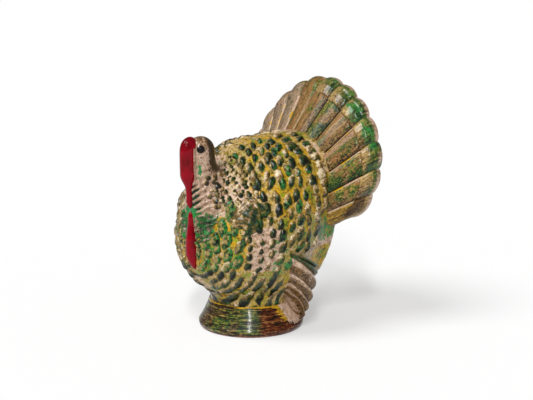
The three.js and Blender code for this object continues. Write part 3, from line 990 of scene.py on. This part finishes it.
def head_paint(name):
    """Pinkish skin with a tan crown, dark flecks, green dabs, scaled neck with painted light and shade, and
    black round the eyes.
    """
    paint = Paint(name)
    blotch, speck, grain, dust = mottling(paint, 0.5)
    dirt = paint.ramp(dust, dirt=0.4, umber=0.6)
    paint.colour = paint.ramp(dust, umber=0.28, beige=0.44, undercoat=0.66, pale=0.95)
    tan = paint.ramp(dust, umber=0.3, brown=0.45, beige=0.58, undercoat=0.75)
    paint.lay(tan, 0.35, 0.9, "crown", (dust, 1.2))
    paint.lay(dirt, 0.5, 0.8, "nape", (dust, 1.6))
    paint.lay(dirt, 0.61, 0.69, paint.noise(700, 3, stretch=(1, 1, 0.6)))
    green = paint.ramp(dust, black_green=0.4, deep_green=0.58, teal=0.75)
    paint.lay(green, 0.5, 0.7, "fold", (dust, 1.2), (blotch, 0.8))
    mossy = paint.ramp(dust, black_green=0.36, deep_green=0.5, bright_green=0.62, moss=0.78)
    paint.lay(mossy, 0.45, 0.65, "bib", (blotch, 1.4), (dust, 2.0))
    dashes = paint.noise(520, 3, stretch=(1.6, 1.6, 0.6))
    bright = paint.ramp(dust, teal=0.36, bright_green=0.55)
    paint.lay(bright, 0.6, 0.72, "dabs", (dashes, 2.4), (grain, 0.8))
    # Painted shade round the neck scales, on their darker side
    paint.lay(dirt, -0.2, 0.3, raised(paint, -0.5, dust))
    # Neck scales painted lighter on one side and darker on the other, as painted light and shade
    shade = feather_shade(paint, dust)
    scale = paint.ramp(shade, dirt=0.1, olive=0.35, brown=0.55, tan=0.75, pale=1.0)
    paint.lay(scale, 0.0, 0.35, "crest", (dust, 1.2))
    paint.lay(COLOURS["black"], 0.4, 0.6, "eye_spot")
    return paint.finish(paint.sum(grain, speck))


def paint_fan_browns(paint, fine, grain, brush):
    """Moss, ochre, hazel and russet patches, dark and pale along the strokes."""
    patch = paint.strokes(0.1, 0.45, 3, 0.6)
    hue = paint.roughen(0.5, (patch, 1.7), (fine, 0.8), (grain, 0.6))
    brown = paint.ramp(hue, moss=0.28, ochre=0.37, hazel=0.47, russet=0.57, tan=0.72)
    paint.colour = paint.ramp(brush, dirt=0.25, umber=0.4)
    paint.lay(brown, 0.3, 0.52, brush)
    paint.lay(COLOURS["sand"], 0.7, 0.95, brush)


def pad_colour(paint, fine, blotch, grain, brush):
    """Tan pads that turn green towards their tips."""
    tan = paint.ramp(brush, umber=0.3, brown=0.42, tan=0.54, sand=0.7, pale=0.92)
    leafy = paint.ramp(brush, black_green=0.28, deep_green=0.42, moss=0.56, khaki=0.75)
    vivid = paint.ramp(brush, deep_green=0.3, bright_green=0.6)
    leafy = paint.blend(leafy, vivid, blotch, 0.52, 0.7)
    tip = paint.sum("tip", paint.times("lean", -0.3))
    return paint.blend(tan, leafy, paint.roughen(tip, (fine, 2.6), (blotch, 1.8), (grain, 0.8)), 0.35, 0.9)


def fan_paint(name):
    """Browns and greens brushed along the feathers, worn low down, with pads and a paler rear, painted
    light, shade and highlights across each feather, and a painted sheen on the right half.
    """
    paint = Paint(name)
    streak = paint.strokes(0.25, 1.2, 5)
    fine = paint.strokes(0.7, 2.2, 4)
    blotch = paint.noise(170, 3)
    grain = paint.grain()
    # Brush strokes turn lighter towards the upper edge of each feather, as painted light
    brush = paint.sum(paint.roughen(streak, (fine, 0.8), (grain, 0.8)), paint.times("lean", 0.12))
    paint_fan_browns(paint, fine, grain, brush)
    mossy = paint.ramp(
        brush, black_green=0.28, deep_green=0.44, moss=0.57, khaki=0.71, sand=0.9)
    greened = paint.roughen("tone", (blotch, 1.8), (streak, 1.2))
    paint.lay(mossy, 0.4, 0.6, greened)
    # Painted sheen: paler, greyer colours over the right half of the fan
    painted_sheen = paint.ramp(brush, umber=0.34, greige=0.53, beige=0.74, undercoat=0.95)
    paint.lay(painted_sheen, 0.3, 0.75, "painted_sheen", (streak, 1.4))
    ochre = paint.ramp(brush, umber=0.28, brown=0.42, ochre=0.53, mustard=0.65, sand=0.85)
    paint.lay(ochre, 0.4, 0.7, "ochre", (streak, 2.4), (grain, 1.0))
    scorched = paint.ramp(brush, dirt=0.35, umber=0.55, brown=0.75)
    paint.lay(scorched, 0.4, 0.65, "scorch", (blotch, 1.5), (fine, 1.2))
    paint.lay(pad_colour(paint, fine, blotch, grain, brush), 0.4, 0.6, "pad")
    # Pale upper edges of the feathers: partly their own pale paint, partly a painted highlight
    bright = paint.ramp(blotch, pale=0.42, undercoat=0.5, gold=0.58)
    paint.lay(bright, 0.45, 0.75, "edge", (fine, 0.9), (blotch, 1.0))
    paint.lay(COLOURS["dirt"], 0.55, 0.85, "seam", (fine, 0.8))
    rear = paint.ramp(brush, brown=0.3, beige=0.45, undercoat=0.6)
    paint.colour = paint.mix("rear", paint.colour, paint.blend(rear, mossy, greened, 0.5, 0.75))
    paint.varnish("pad", 0.4, 0.14)
    return paint.finish(paint.sum(fine, grain), 0.3)


def wing_paint(name):
    """Undercoat on the upper side of each feather, brown strokes down its lower side as painted shade, green
    on top.
    """
    paint = Paint(name, coat=0.15)
    streak = paint.strokes(0.16, 1.0, 5)
    speck = paint.speck()
    grain = paint.grain()
    dust = paint.roughen(0.5, (speck, 1.4), (grain, 0.9))
    brush = paint.roughen(streak, (dust, 0.7))
    paint.colour = undercoat(paint, dust)
    brown = paint.ramp(brush, dirt=0.31, umber=0.43, brown=0.55, hazel=0.69, tan=0.85)
    paint.lay(brown, 0.3, 0.65, "shaded", (streak, 3.2), (dust, 1.0))
    mossy = paint.ramp(brush, black_green=0.35, deep_green=0.5, moss=0.65)
    paint.lay(mossy, 0.5, 0.65, "greened", (streak, 1.6), (dust, 0.8))
    dirt = paint.ramp(dust, dirt=0.42, umber=0.6)
    paint.lay(dirt, 0.65, 0.9, "seam", (dust, 0.8))
    return paint.finish(paint.sum(grain, speck), 0.3)


def pedestal_paint(name):
    """Browns and greens brushed round the foot, with rust, a bare chip and a yellow edge."""
    paint = Paint(name, coat_roughness=0.14)
    streak = paint.strokes(0.1, 1.3, 6)
    fine = paint.strokes(0.3, 4.0, 3)
    speck = paint.noise(800, 4, 0.65)
    brush = paint.roughen(0.5, (streak, 1.5), (fine, 1.1), (speck, 0.8))
    paint.colour = paint.ramp(brush, dirt=0.36, umber=0.51, brown=0.61, tan=0.72, sand=0.86)
    mossy = paint.ramp(brush, black_green=0.33, deep_green=0.48, moss=0.59, khaki=0.74)
    paint.lay(mossy, 0.46, 0.6, paint.noise(110, 4), (streak, 0.9))
    rust = paint.ramp(brush, dirt=0.38, rust=0.56, russet=0.69, tan=0.86)
    paint.lay(rust, 0.4, 0.75, "rust", (streak, 1.4))
    yellow = paint.ramp(brush, ochre=0.3, mustard=0.5, gold=0.7)
    paint.lay(yellow, 0.5, 0.62, "gilded", (streak, 1.4), (speck, 0.8))
    paint.lay(undercoat(paint, speck), 0.5, 0.58, "chip", (speck, 0.9), (fine, 0.8))
    paint.lay(rust, 0.4, 0.7, "foot", (streak, 0.8))
    paint.varnish(paint.between(brush, 0.35, 0.7), 0.55, 0.04)
    return paint.finish(paint.sum(brush, speck), 0.16)


# Body

def stand_on_pedestal(points):
    """Draws the lowest part of the body in to the round neck that stands on the pedestal."""
    x, y, z = np.moveaxis(points, -1, 0)
    radius = np.hypot(x, y)
    inward = np.clip((BELLY_DRAW_START - radius) / (BELLY_DRAW_START - BELLY_DRAW_END), 0, 1)
    inward = np.where(z < BELLY_NECK_TOP, inward, 0)
    target = np.where(inward < 1, BELLY_NECK_RADIUS, BELLY_NECK_RADIUS * radius / BELLY_DRAW_END)
    scale = lerp(radius, target, inward ** 1.3) / np.maximum(radius, 1e-6)
    return xyz(x * scale, y * scale, lerp(z, BELLY_NECK_FOOT, inward ** 2))


def plain_body():
    front = -BREAST_REACH * np.cos(np.linspace(0, math.pi / 2, BREAST_MESH_RINGS))
    back = np.linspace(0, RUMP_REACH, BACK_MESH_RINGS)[1:]
    end = RUMP_REACH + RUMP_ROUNDING * np.sin(np.linspace(0, math.pi / 2, END_MESH_RINGS))[1:]
    y = np.concatenate([front, back, end])[:, None]
    angle = np.linspace(0, 180, BODY_MESH_STEPS)[None, :]
    return body_point(*np.broadcast_arrays(y, angle))


def carved_body():
    """Left half of the body, carved with feathers and the shoulder boss, and the marks for its paint."""
    plain = plain_body()
    normal = grid_normals(plain)
    normal *= np.sign((normal * (plain - BODY_Z * UPWARD)).sum(axis=-1, keepdims=True))
    lift, marks = carve(plain, lay_plumage())
    boss = np.exp(-SHOULDER_FALL * shoulder_distance(plain) ** SHOULDER_FALL_POWER)
    lumps = boss * (SHOULDER_HEIGHT + SHOULDER_LUMPS * ripple(plain * [1, 1, 1.8], 3.2, 2))
    tool_marks = sum(depth * ripple(plain, length, seed) for depth, length, seed in TOOL_MARKS)
    lift = lift * (1 - boss) + lumps + tool_marks
    carved = stand_on_pedestal(plain + normal * lift[..., None])
    carved[:, [0, -1], 0] = 0
    carved[..., 0] = np.maximum(carved[..., 0], 0)
    mark_boss(marks, plain, boss)
    marks["gold"] = strongest(GOLD_ZONES.values(), plain)
    marks["pink"] = body_pink(plain)
    marks["smear"] = total(SMEAR_ZONES.values(), plain)
    return carved, marks


def mark_boss(marks, points, boss):
    """Paint of the shoulder boss: brown and green in front, darker behind and below as painted shade."""
    on_boss = fade(boss + 0.2 * ripple(points, 4, 6), 0.12, 0.45)
    _, y, z = np.moveaxis(points, -1, 0)
    middle = shoulder_middle()
    # The boss is painted lighter towards the front and top and darker behind and below, as painted light and
    # shade
    lean = (middle[1] - y) / 7 + (z - middle[2]) / 9
    marks["crest"] = np.maximum(marks["crest"], 1.2 * on_boss - 0.5)
    marks["lean"] = lerp(marks["lean"], lean, on_boss)
    marks["tone"] = lerp(marks["tone"], 0.55 + 0.35 * ripple(points, 3, 3), on_boss)
    marks["green"] = lerp(marks["green"], 0.15, on_boss)
    marks["leaf"] = marks["leaf"] * (1 - on_boss)


def body_pink(points):
    """How bare the ground is, down to a slanted edge on the rump and not on the yellow behind the wing."""
    x, _, z = np.moveaxis(points, -1, 0)
    rump = RUMP_PINK.share(points) * fade(z + RUMP_PINK_SLANT * x, *RUMP_PINK_EDGE)
    bare = np.maximum(strongest(PINK_ZONES.values(), points), rump)
    behind_wing = GOLD_ZONES["behind the wing"]
    return bare - behind_wing.share(points) / behind_wing.strength


def flip(points, side):
    return points * np.array([side, 1, 1])


def body_half(side, name, node, paint, carved, marks):
    if side < 0:
        marks = marks | {key: marks[key] + shift for key, shift in RIGHT_HALF_SHIFTS.items()}
    add_piece(name, flip(carved, side), paint, node, marks)


# Head, eyes, snood and wattle

def neck_fillet(plain, aside):
    """Thickening where the sides and back of the neck run into the body."""
    clear = body_clearance(plain)
    near = np.clip(1 - clear / NECK_FILLET_REACH, 0, 1) ** 2 * (clear > -6)
    return NECK_FILLET * near * fade(aside, 0.3, 0.7)


def head_marks(places, ridge, half_width):
    aside, _, z = np.moveaxis(places, -1, 0)
    marks = {key: total(zones, places) for key, zones in HEAD_ZONES.items()}
    marks["fold"] = (0.25 + 0.9 * (1 - ridge)) * NECK_FOLD_PAINT.share(places)
    above_eye = z - HEAD_TOP + EYE_DROP - EYE_SPOT_RISE
    behind_eye = (aside - math.radians(EYE_ANGLE)) * half_width
    marks["eye_spot"] = spot(np.hypot(above_eye, behind_eye), 0, EYE_SPOT_RADIUS)
    return marks


def head(paint):
    cheek = HEAD_TOP - HEAD_HALF_DEPTH
    neck = np.linspace(NECK_ROOT_Z, cheek, NECK_MESH_RINGS)
    skull = cheek + (HEAD_TOP - cheek) * np.sin(np.linspace(0, math.pi / 2, SKULL_MESH_RINGS))[1:]
    z = np.concatenate([neck, skull])[:, None]
    turn = full_turn(HEAD_MESH_STEPS)[None, :]
    aside = np.minimum(turn, 2 * math.pi - turn)
    y, half_width, half_depth = head_section(z)
    out = xyz(np.sin(turn), -np.cos(turn), 0 * z)
    plain = xyz(half_width * np.sin(turn), y - half_depth * np.cos(turn), z)
    places = xyz(aside, y, z)
    slope = 2 * math.pi * (z - NECK_FOLD_SLANT * aside) / NECK_FOLD_GAP
    ridge = 0.5 + 0.5 * np.sin(slope + 1.8 * ripple(plain, 6, 4))
    on_left = xyz(np.abs(plain[..., 0]), plain[..., 1], plain[..., 2])
    scales, marks = carve(on_left, lay_ruff())
    folds = NECK_FOLD_HEIGHT.share(places) * (ridge - 0.5)
    lift = neck_fillet(plain, aside) + scales + folds + 0.1 * ripple(plain, 5, 5)
    marks |= head_marks(places, ridge, half_width)
    add_piece("turkey_head", plain + out * lift[..., None], paint, "head", marks)


def smoothed(values):
    window = np.hanning(2 * STRIP_SMOOTHING + 1)
    padded = np.pad(values, STRIP_SMOOTHING, mode="edge")
    return np.convolve(padded, window / window.sum(), mode="valid")


def strip(name, node, paint, top, length, fullness, half_at):
    """Strip of flesh that hangs down the front line of the bird, rounded at both ends."""
    ends = STRIP_END_SHARE * (1 - np.cos(np.linspace(0, math.pi / 2, STRIP_END_RINGS)))
    middle = np.linspace(STRIP_END_SHARE, 1 - STRIP_END_SHARE, STRIP_MESH_RINGS)[1:-1]
    t = np.concatenate([ends, middle, 1 - ends[::-1]])
    z = top - length * t
    spine = xyz(0, smoothed(front_line(z)), z)
    out = unit(np.cross(unit(np.gradient(spine, axis=0)), LEFTWARD))
    half = half_at(t) * round_off(STRIP_END_SHARE - np.minimum(t, 1 - t), STRIP_END_SHARE)
    half = np.maximum(half, STRIP_END_HALF_WIDTH)[:, None, None]
    turn = full_turn(STRIP_MESH_STEPS)[None, :, None]
    ring = np.cos(turn) * LEFTWARD + fullness * np.sin(turn) * out[:, None]
    add_piece(name, spine[:, None] + half * ring, paint, node)


def snood_half(t):
    return lerp(SNOOD_HALF_WIDTH, SNOOD_TAIL_HALF_WIDTH, fade(t, *SNOOD_NARROWING_SHARES))


def wattle_half(t):
    swelling = lerp(SNOOD_TAIL_HALF_WIDTH, WATTLE_HALF_WIDTH, fade(t, *WATTLE_SWELLING_SHARES))
    return swelling * (1 - WATTLE_POINT * fade(t, *WATTLE_POINT_SHARES))


def eye(side, name, node, paint):
    z = HEAD_TOP - EYE_DROP
    y, half_width, half_depth = head_section(np.array(z))
    turn = math.radians(EYE_ANGLE)
    inset = EYE_RADIUS - EYE_PROUD
    out = np.array([side * math.sin(turn), -math.cos(turn), 0])
    centre = out * [half_width - inset, half_depth - inset, 0] + [0, y, z]
    rise = np.linspace(-math.pi / 2, math.pi / 2, EYE_MESH_RINGS)[:, None, None]
    spin = full_turn(EYE_MESH_STEPS)[None, :, None]
    ring = np.cos(spin) * np.cross(out, UPWARD) + np.sin(spin) * UPWARD
    rings = centre + EYE_RADIUS * (np.cos(rise) * ring + np.sin(rise) * out)
    add_piece(name, rings, paint, node)


# Fan and wings

def feather_columns(feathers, columns):
    """For each column of a row of feathers: its place, its share across its feather, and the feather."""
    number = np.arange(feathers * columns + 1)[:, None]
    return number / columns, (number % columns) / columns, number // columns


def half_turn(steps):
    return np.linspace(0, math.pi, steps)[1:-1][None, :]


def rounded_edge(root, tip, start, steps, direction, near, far):
    """Rounded rim of a sheet of feathers, from its one face to its other one along a direction."""
    turn = half_turn(steps)
    edge = lerp(root, tip, start + (1 - start) * np.sin(turn)[..., None])
    return edge + direction * lerp(near, far, (1 - np.cos(turn)) / 2)[..., None]


def stroke_flow(along, across, feather, side):
    """Places for brush strokes, in millimetres along and across each feather."""
    return xyz(along, across + FEATHER_STROKE_SHIFT * feather, SIDE_STROKE_SHIFT * side)


def fan_lift(on_left, out, across, pad_start, pad):
    """How far the front of the fan stands forward. The pads of the right half are softer."""
    puffed = TAIL_TIP_STEP * fade(pad, 0, LEFT_PAD_EDGE if on_left else RIGHT_PAD_EDGE)
    puffed = puffed + PAD_PUFF * np.sin(math.pi * pad) * crowned(across, 2)
    groove = -PAD_GROOVE * spot(out, pad_start - 0.007, 0.006) * on_left
    crown = TAIL_CROWN * crowned(across, TAIL_CROWN_POWER)
    relief = crown + TAIL_SHINGLE * (0.5 - across) + puffed + groove
    return relief * fade(out, FAN_SHEET_START, 0.55) - fade(pad, 0.72, 1)


def fan_sheets(place, across, out, back, lift):
    """Front, rounded edge and back of the left half of the fan."""
    angle = np.interp(place, range(TAIL_FEATHERS + 1), TAIL_FEATHER_EDGES)
    sink = TAIL_ROOT_SINK * (angle / TAIL_SPREAD_ANGLE) ** TAIL_ROOT_SINK_POWER
    root = xyz(0, TAIL_ROOT_Y, BODY_Z - TAIL_ROOT_DROP - sink)
    rim = tail_rim(angle, across)
    bulge = 0.5 * TAIL_CROWN * crowned(across, TAIL_CROWN_POWER)
    front = lerp(root, rim, out[..., None]) - BACKWARD * lift[..., None]
    edge = rounded_edge(
        root, rim, FAN_EDGE_START, FAN_EDGE_STEPS, BACKWARD, -lift[:, -1:], TAIL_EDGE + bulge)
    rear = xyz(0, TAIL_REACH + TAIL_EDGE + TAIL_BACK_BULGE, BODY_Z + TAIL_RISE)
    flat = lerp(rear, rim + TAIL_EDGE * BACKWARD, back[..., None])
    return front, edge, flat + BACKWARD * (bulge * fade(back, 0.1, 0.6))[..., None]


def fan_half(side, name, node, paint):
    """One half of the fan. The right half is browner, greyed by a painted sheen and without painted pads."""
    on_left = side > 0
    place, across, feather = feather_columns(TAIL_FEATHERS, FAN_COLUMNS)
    feather = np.minimum(feather, TAIL_FEATHERS - 1)
    last = feather == TAIL_FEATHERS - 1
    coarse = np.linspace(FAN_SHEET_START, FAN_PAD_SHEET_START, FAN_SHEET_STEPS)
    fine = np.linspace(FAN_PAD_SHEET_START, FAN_EDGE_START, FAN_PAD_SHEET_STEPS)[1:]
    out = np.concatenate([coarse, fine])[None, :]
    back = np.linspace(0.99, 0.0, FAN_BACK_STEPS)[None, :]
    pad_start = PAD_START + PAD_UNEVENNESS * (np.sin(5.0 * feather) + (2 * across - 1) ** 2)
    pad = np.clip((out - pad_start) / PAD_LENGTH, 0, 1)
    sheets = fan_sheets(place, across, out, back, fan_lift(on_left, out, across, pad_start, pad))

    def whole(*parts):
        pairs = zip(parts, sheets)
        return np.concatenate([np.broadcast_to(part, sheet.shape[:2]) for part, sheet in pairs], axis=1)

    below_pad = fade(pad, 0.1, 0)
    notch = 0.8 * fade(np.abs(2 * across - 1), 0.86, 1)
    seam = fade(across, 0.86, 0.98) * below_pad + notch * (1 - below_pad)
    along = whole(FAN_STROKE_LENGTH * out, FAN_STROKE_LENGTH, 36 * back + 100)
    greenness = np.array(FAN_GREENNESS)[feather] - 0.2 * (not on_left)
    on_front = {
        # The paint is lighter towards the upper edge of each feather and darker towards its lower edge, as
        # painted light and shade
        "lean": 1 - 2 * across,
        # A pale upper edge on each feather, partly its own pale paint and partly a painted highlight
        "edge": fade(across, 0.14, 0.0) * below_pad * (feather > 0),
        "scorch": 0.8 * last * fade(out, 0.78, 0.93) * fade(across, 0.75, 0.2),
        # The right half is painted paler and greyer, a painted sheen
        "painted_sheen": 0.6 * (feather > 0) * (not on_left),
        "ochre": 0.8 * last,
    }
    marks = {
        "flow": stroke_flow(along, FAN_STROKE_WIDTH * across, feather, side),
        "seam": whole(seam, notch, 0),
        "pad": whole(fade(pad, 0, 0.02), 1, 1) * on_left * ~last,
        "tip": whole(pad - np.array(FAN_TIP_STARTS)[feather] + 0.3, 1, 1),
        "rear": whole(0, fade(half_turn(FAN_EDGE_STEPS), 1.0, 1.7), 1),
        "tone": whole(greenness, greenness, greenness),
    }
    marks |= {key: whole(values, 0, 0) for key, values in on_front.items()}
    add_piece(name, flip(np.concatenate(sheets, axis=1), side), paint, node, marks)


def wing_rings(t, across):
    """Outer sheet, rounded edge and inner sheet of the left wing."""
    root = wing_root(np.interp(t, WING_TIP_EDGES, WING_ROOT_EDGES))
    tip = wing_tip(t, across)
    outward = unit((root + tip) * [1, 1, 0])
    crown = WING_CROWN * (0.4 + 0.6 * crowned(across, 3))
    u = np.linspace(0, WING_EDGE_START, WING_SHEET_STEPS)[None, :]
    bow = WING_BOW * np.sin(math.pi * u)
    lift = bow + crown * fade(u, 0, 0.3) - 0.9 * fade(u, 0.84, WING_EDGE_START) ** 2
    outer = lerp(root, tip, u[..., None]) + outward * lift[..., None]
    edge = rounded_edge(root, tip, WING_EDGE_START, WING_EDGE_STEPS, outward, lift[:, -1:], -WING_EDGE)
    v = np.linspace(WING_EDGE_START, 0, WING_BACK_STEPS)[None, :]
    depth = (1 - 0.75 * fade(t, 0.9, 1)) * lerp(WING_ROOT_DEPTH, WING_EDGE, v)
    inner = lerp(root, tip, v[..., None]) - outward * depth[..., None]
    return np.concatenate([outer, edge, inner], axis=1)


def wing(side, name, node, paint):
    place, across, feather = feather_columns(WING_FEATHERS, WING_COLUMNS)
    t = np.interp(place, range(WING_FEATHERS + 1), WING_TIP_EDGES)
    rings = wing_rings(t, across)
    shape = rings.shape[:2]
    along = np.linspace(0, WING_STROKE_LENGTH, shape[1])[None, :]
    marks = {
        "shaded": np.maximum(0.85 * fade(across, 0.1, 0.7), 0.4 * (t > 0.86)),
        "greened": 0.75 * fade(t, 0.28, 0.2),
        "seam": np.abs(2 * across - 1) ** 10 * fade(t, 1, 0.98),
    }
    marks = {key: np.broadcast_to(values, shape) for key, values in marks.items()}
    marks["flow"] = stroke_flow(along, WING_STROKE_WIDTH * across, feather, side)
    add_piece(name, flip(rings, side), paint, node, marks)


# Pedestal

def flare(t, foot, middle, waist):
    return (1 - t) ** 2 * foot + 2 * t * (1 - t) * middle + t ** 2 * waist


def pedestal(paint):
    edge = np.linspace(-math.pi / 2, 0, FOOT_EDGE_RINGS)
    r_edge = FOOT_RADIUS - FOOT_UNDERCUT + FOOT_UNDERCUT * np.cos(edge)
    z_edge = FOOT_EDGE_HEIGHT + FOOT_EDGE_HEIGHT * np.sin(edge)
    t = np.linspace(0, 1, FLARE_RINGS)[1:]
    r_side = flare(t, FOOT_RADIUS, lerp(WAIST_RADIUS, FOOT_RADIUS, 0.5), WAIST_RADIUS)
    z_side = flare(t, FOOT_EDGE_HEIGHT, PEDESTAL_HEIGHT / 2, PEDESTAL_HEIGHT)
    radius = np.concatenate([r_edge, r_side])[:, None]
    z = np.concatenate([z_edge, z_side])[:, None]
    turn = np.linspace(-math.pi, math.pi, PEDESTAL_SIDES + 1)[:-1][None, :]
    rings = xyz(radius * np.cos(turn), radius * np.sin(turn), z)
    places = xyz(turn, turn - CHIP_TURN + CHIP_SLANT * z, z)
    marks = {key: total(zones, places) for key, zones in PEDESTAL_ZONES.items()}
    marks["flow"] = xyz(PEDESTAL_STROKE_RADIUS * turn, z, 0.0)
    add_piece("flared_pedestal", rings, paint, "pedestal", marks)


def build_turkey():
    feathers = plumage_paint("plumage_paint")
    red = plain_red("wattle_red")
    black = eye_paint("eye_black")
    fan = fan_paint("fan_paint")
    drooped = wing_paint("wing_paint")
    pedestal(pedestal_paint("pedestal_paint"))
    head(head_paint("head_paint"))
    strip("face_snood", "snood", red, SNOOD_TOP, SNOOD_LENGTH, SNOOD_FULLNESS, snood_half)
    strip("breast_wattle", "wattle", red, WATTLE_TOP, WATTLE_LENGTH, WATTLE_FULLNESS, wattle_half)
    carved, marks = carved_body()
    for side, word in ((1, "left"), (-1, "right")):
        body_half(side, f"{word}_plumage", f"{word}_body_half", feathers, carved, marks)
        eye(side, f"{word}_eye_bead", f"{word}_eye", black)
        wing(side, f"{word}_drooped_wing", f"{word}_wing", drooped)
        fan_half(side, f"{word}_fan_feathers", f"{word}_tail_fan", fan)


# Stage, light and camera

CAMERA_AZIMUTH = 50
CAMERA_DISTANCE = 429
CAMERA_HEIGHT = 130.4
CAMERA_PITCH = 11.06
CAMERA_YAW = -0.764
FOCAL_PIXELS = 1200
IMAGE_WIDTH = 533
SENSOR_WIDTH = 36
KEY_DIRECTION = (-0.52, -0.22, 0.83)
KEY_POWER = 1.75
KEY_SOFTNESS = 28
FRONT_SHIFT = -0.06
FRONT_POWER = 1.75
FRONT_SOFTNESS = 5
FRONT_LAMP_RISES = (30, 36, 42, 48, 54)
WORLD_STRENGTH = 0.22
FLOOR_GLOW = 0.4
FLOOR_HALF_METRES = 6.0


def camera_directions():
    """Unit vectors to the right of the camera, straight ahead of it along the floor, and up."""
    azimuth = math.radians(CAMERA_AZIMUTH)
    ahead = Vector((-math.sin(azimuth), math.cos(azimuth), 0))
    up = Vector((0, 0, 1))
    return ahead.cross(up), ahead, up


def aim(thing, direction):
    thing.rotation_mode = "QUATERNION"
    thing.rotation_quaternion = direction.to_track_quat("-Z", "Y")


def add_camera():
    _, ahead, up = camera_directions()
    look = Quaternion(up, math.radians(CAMERA_YAW)) @ ahead
    pitch = math.radians(CAMERA_PITCH)
    look = look * math.cos(pitch) - up * math.sin(pitch)
    data = bpy.data.cameras.new("camera")
    data.sensor_width = SENSOR_WIDTH
    data.lens = SENSOR_WIDTH * FOCAL_PIXELS / IMAGE_WIDTH
    data.clip_start = 0.01
    camera = add_object("camera", data)
    camera.location = (up * CAMERA_HEIGHT - ahead * CAMERA_DISTANCE) * MM
    aim(camera, look)
    bpy.context.scene.camera = camera


def add_lamp(name, towards, power, softness):
    """A distant soft lamp that stands in a direction from the figure."""
    data = bpy.data.lights.new(name, "SUN")
    data.energy = power
    data.angle = math.radians(softness)
    lamp = add_object(name, data)
    lamp.location = towards
    aim(lamp, -towards)


def add_lamps():
    """A broad key lamp from the upper left, and a column of lamps in front that draws tall highlights."""
    right, ahead, up = camera_directions()
    sideways, forward, upward = KEY_DIRECTION
    add_lamp("key", sideways * right + forward * ahead + upward * up, KEY_POWER, KEY_SOFTNESS)
    for rise in FRONT_LAMP_RISES:
        turn = math.radians(rise)
        towards = FRONT_SHIFT * right - math.cos(turn) * ahead + math.sin(turn) * up
        add_lamp(f"front_{rise}", towards, FRONT_POWER / len(FRONT_LAMP_RISES), FRONT_SOFTNESS)


def add_world():
    world = bpy.data.worlds.new("studio")
    world.use_nodes = True
    background = world.node_tree.nodes["Background"]
    background.inputs["Color"].default_value = (1, 1, 1, 1)
    background.inputs["Strength"].default_value = WORLD_STRENGTH
    bpy.context.scene.world = world


def floor_paint(name):
    """Matt white that glows a little where it is seen directly, so that it stays white and keeps shadows."""
    paint = Paint(name, roughness=0.9, specular=0, coat=0)
    paint.shader.inputs["Base Color"].default_value = (0.95, 0.95, 0.95, 1)
    rays = paint.node("LightPath").outputs
    seen = paint.math("MAXIMUM", rays["Is Camera Ray"], rays["Is Glossy Ray"])
    seen = paint.math("MAXIMUM", seen, rays["Is Transmission Ray"])
    glow = paint.node("Emission", {"Strength": 1}).outputs["Emission"]
    inputs = {"Fac": paint.times(seen, FLOOR_GLOW), 1: paint.shader.outputs["BSDF"], 2: glow}
    surface = paint.node("MixShader", inputs).outputs["Shader"]
    paint.put(paint.tree.nodes["Material Output"].inputs["Surface"], surface)
    return paint.material


def add_floor():
    half = FLOOR_HALF_METRES
    corners = [(-half, -half, 0), (half, -half, 0), (half, half, 0), (-half, half, 0)]
    mesh = bpy.data.meshes.new("floor")
    mesh.from_pydata(corners, [], [(0, 1, 2, 3)])
    mesh.materials.append(floor_paint("white_floor"))
    floor = add_object("floor", mesh)


bpy.context.scene.view_settings.view_transform = "Standard"
build_turkey()
add_floor()
add_world()
add_lamps()
add_camera()
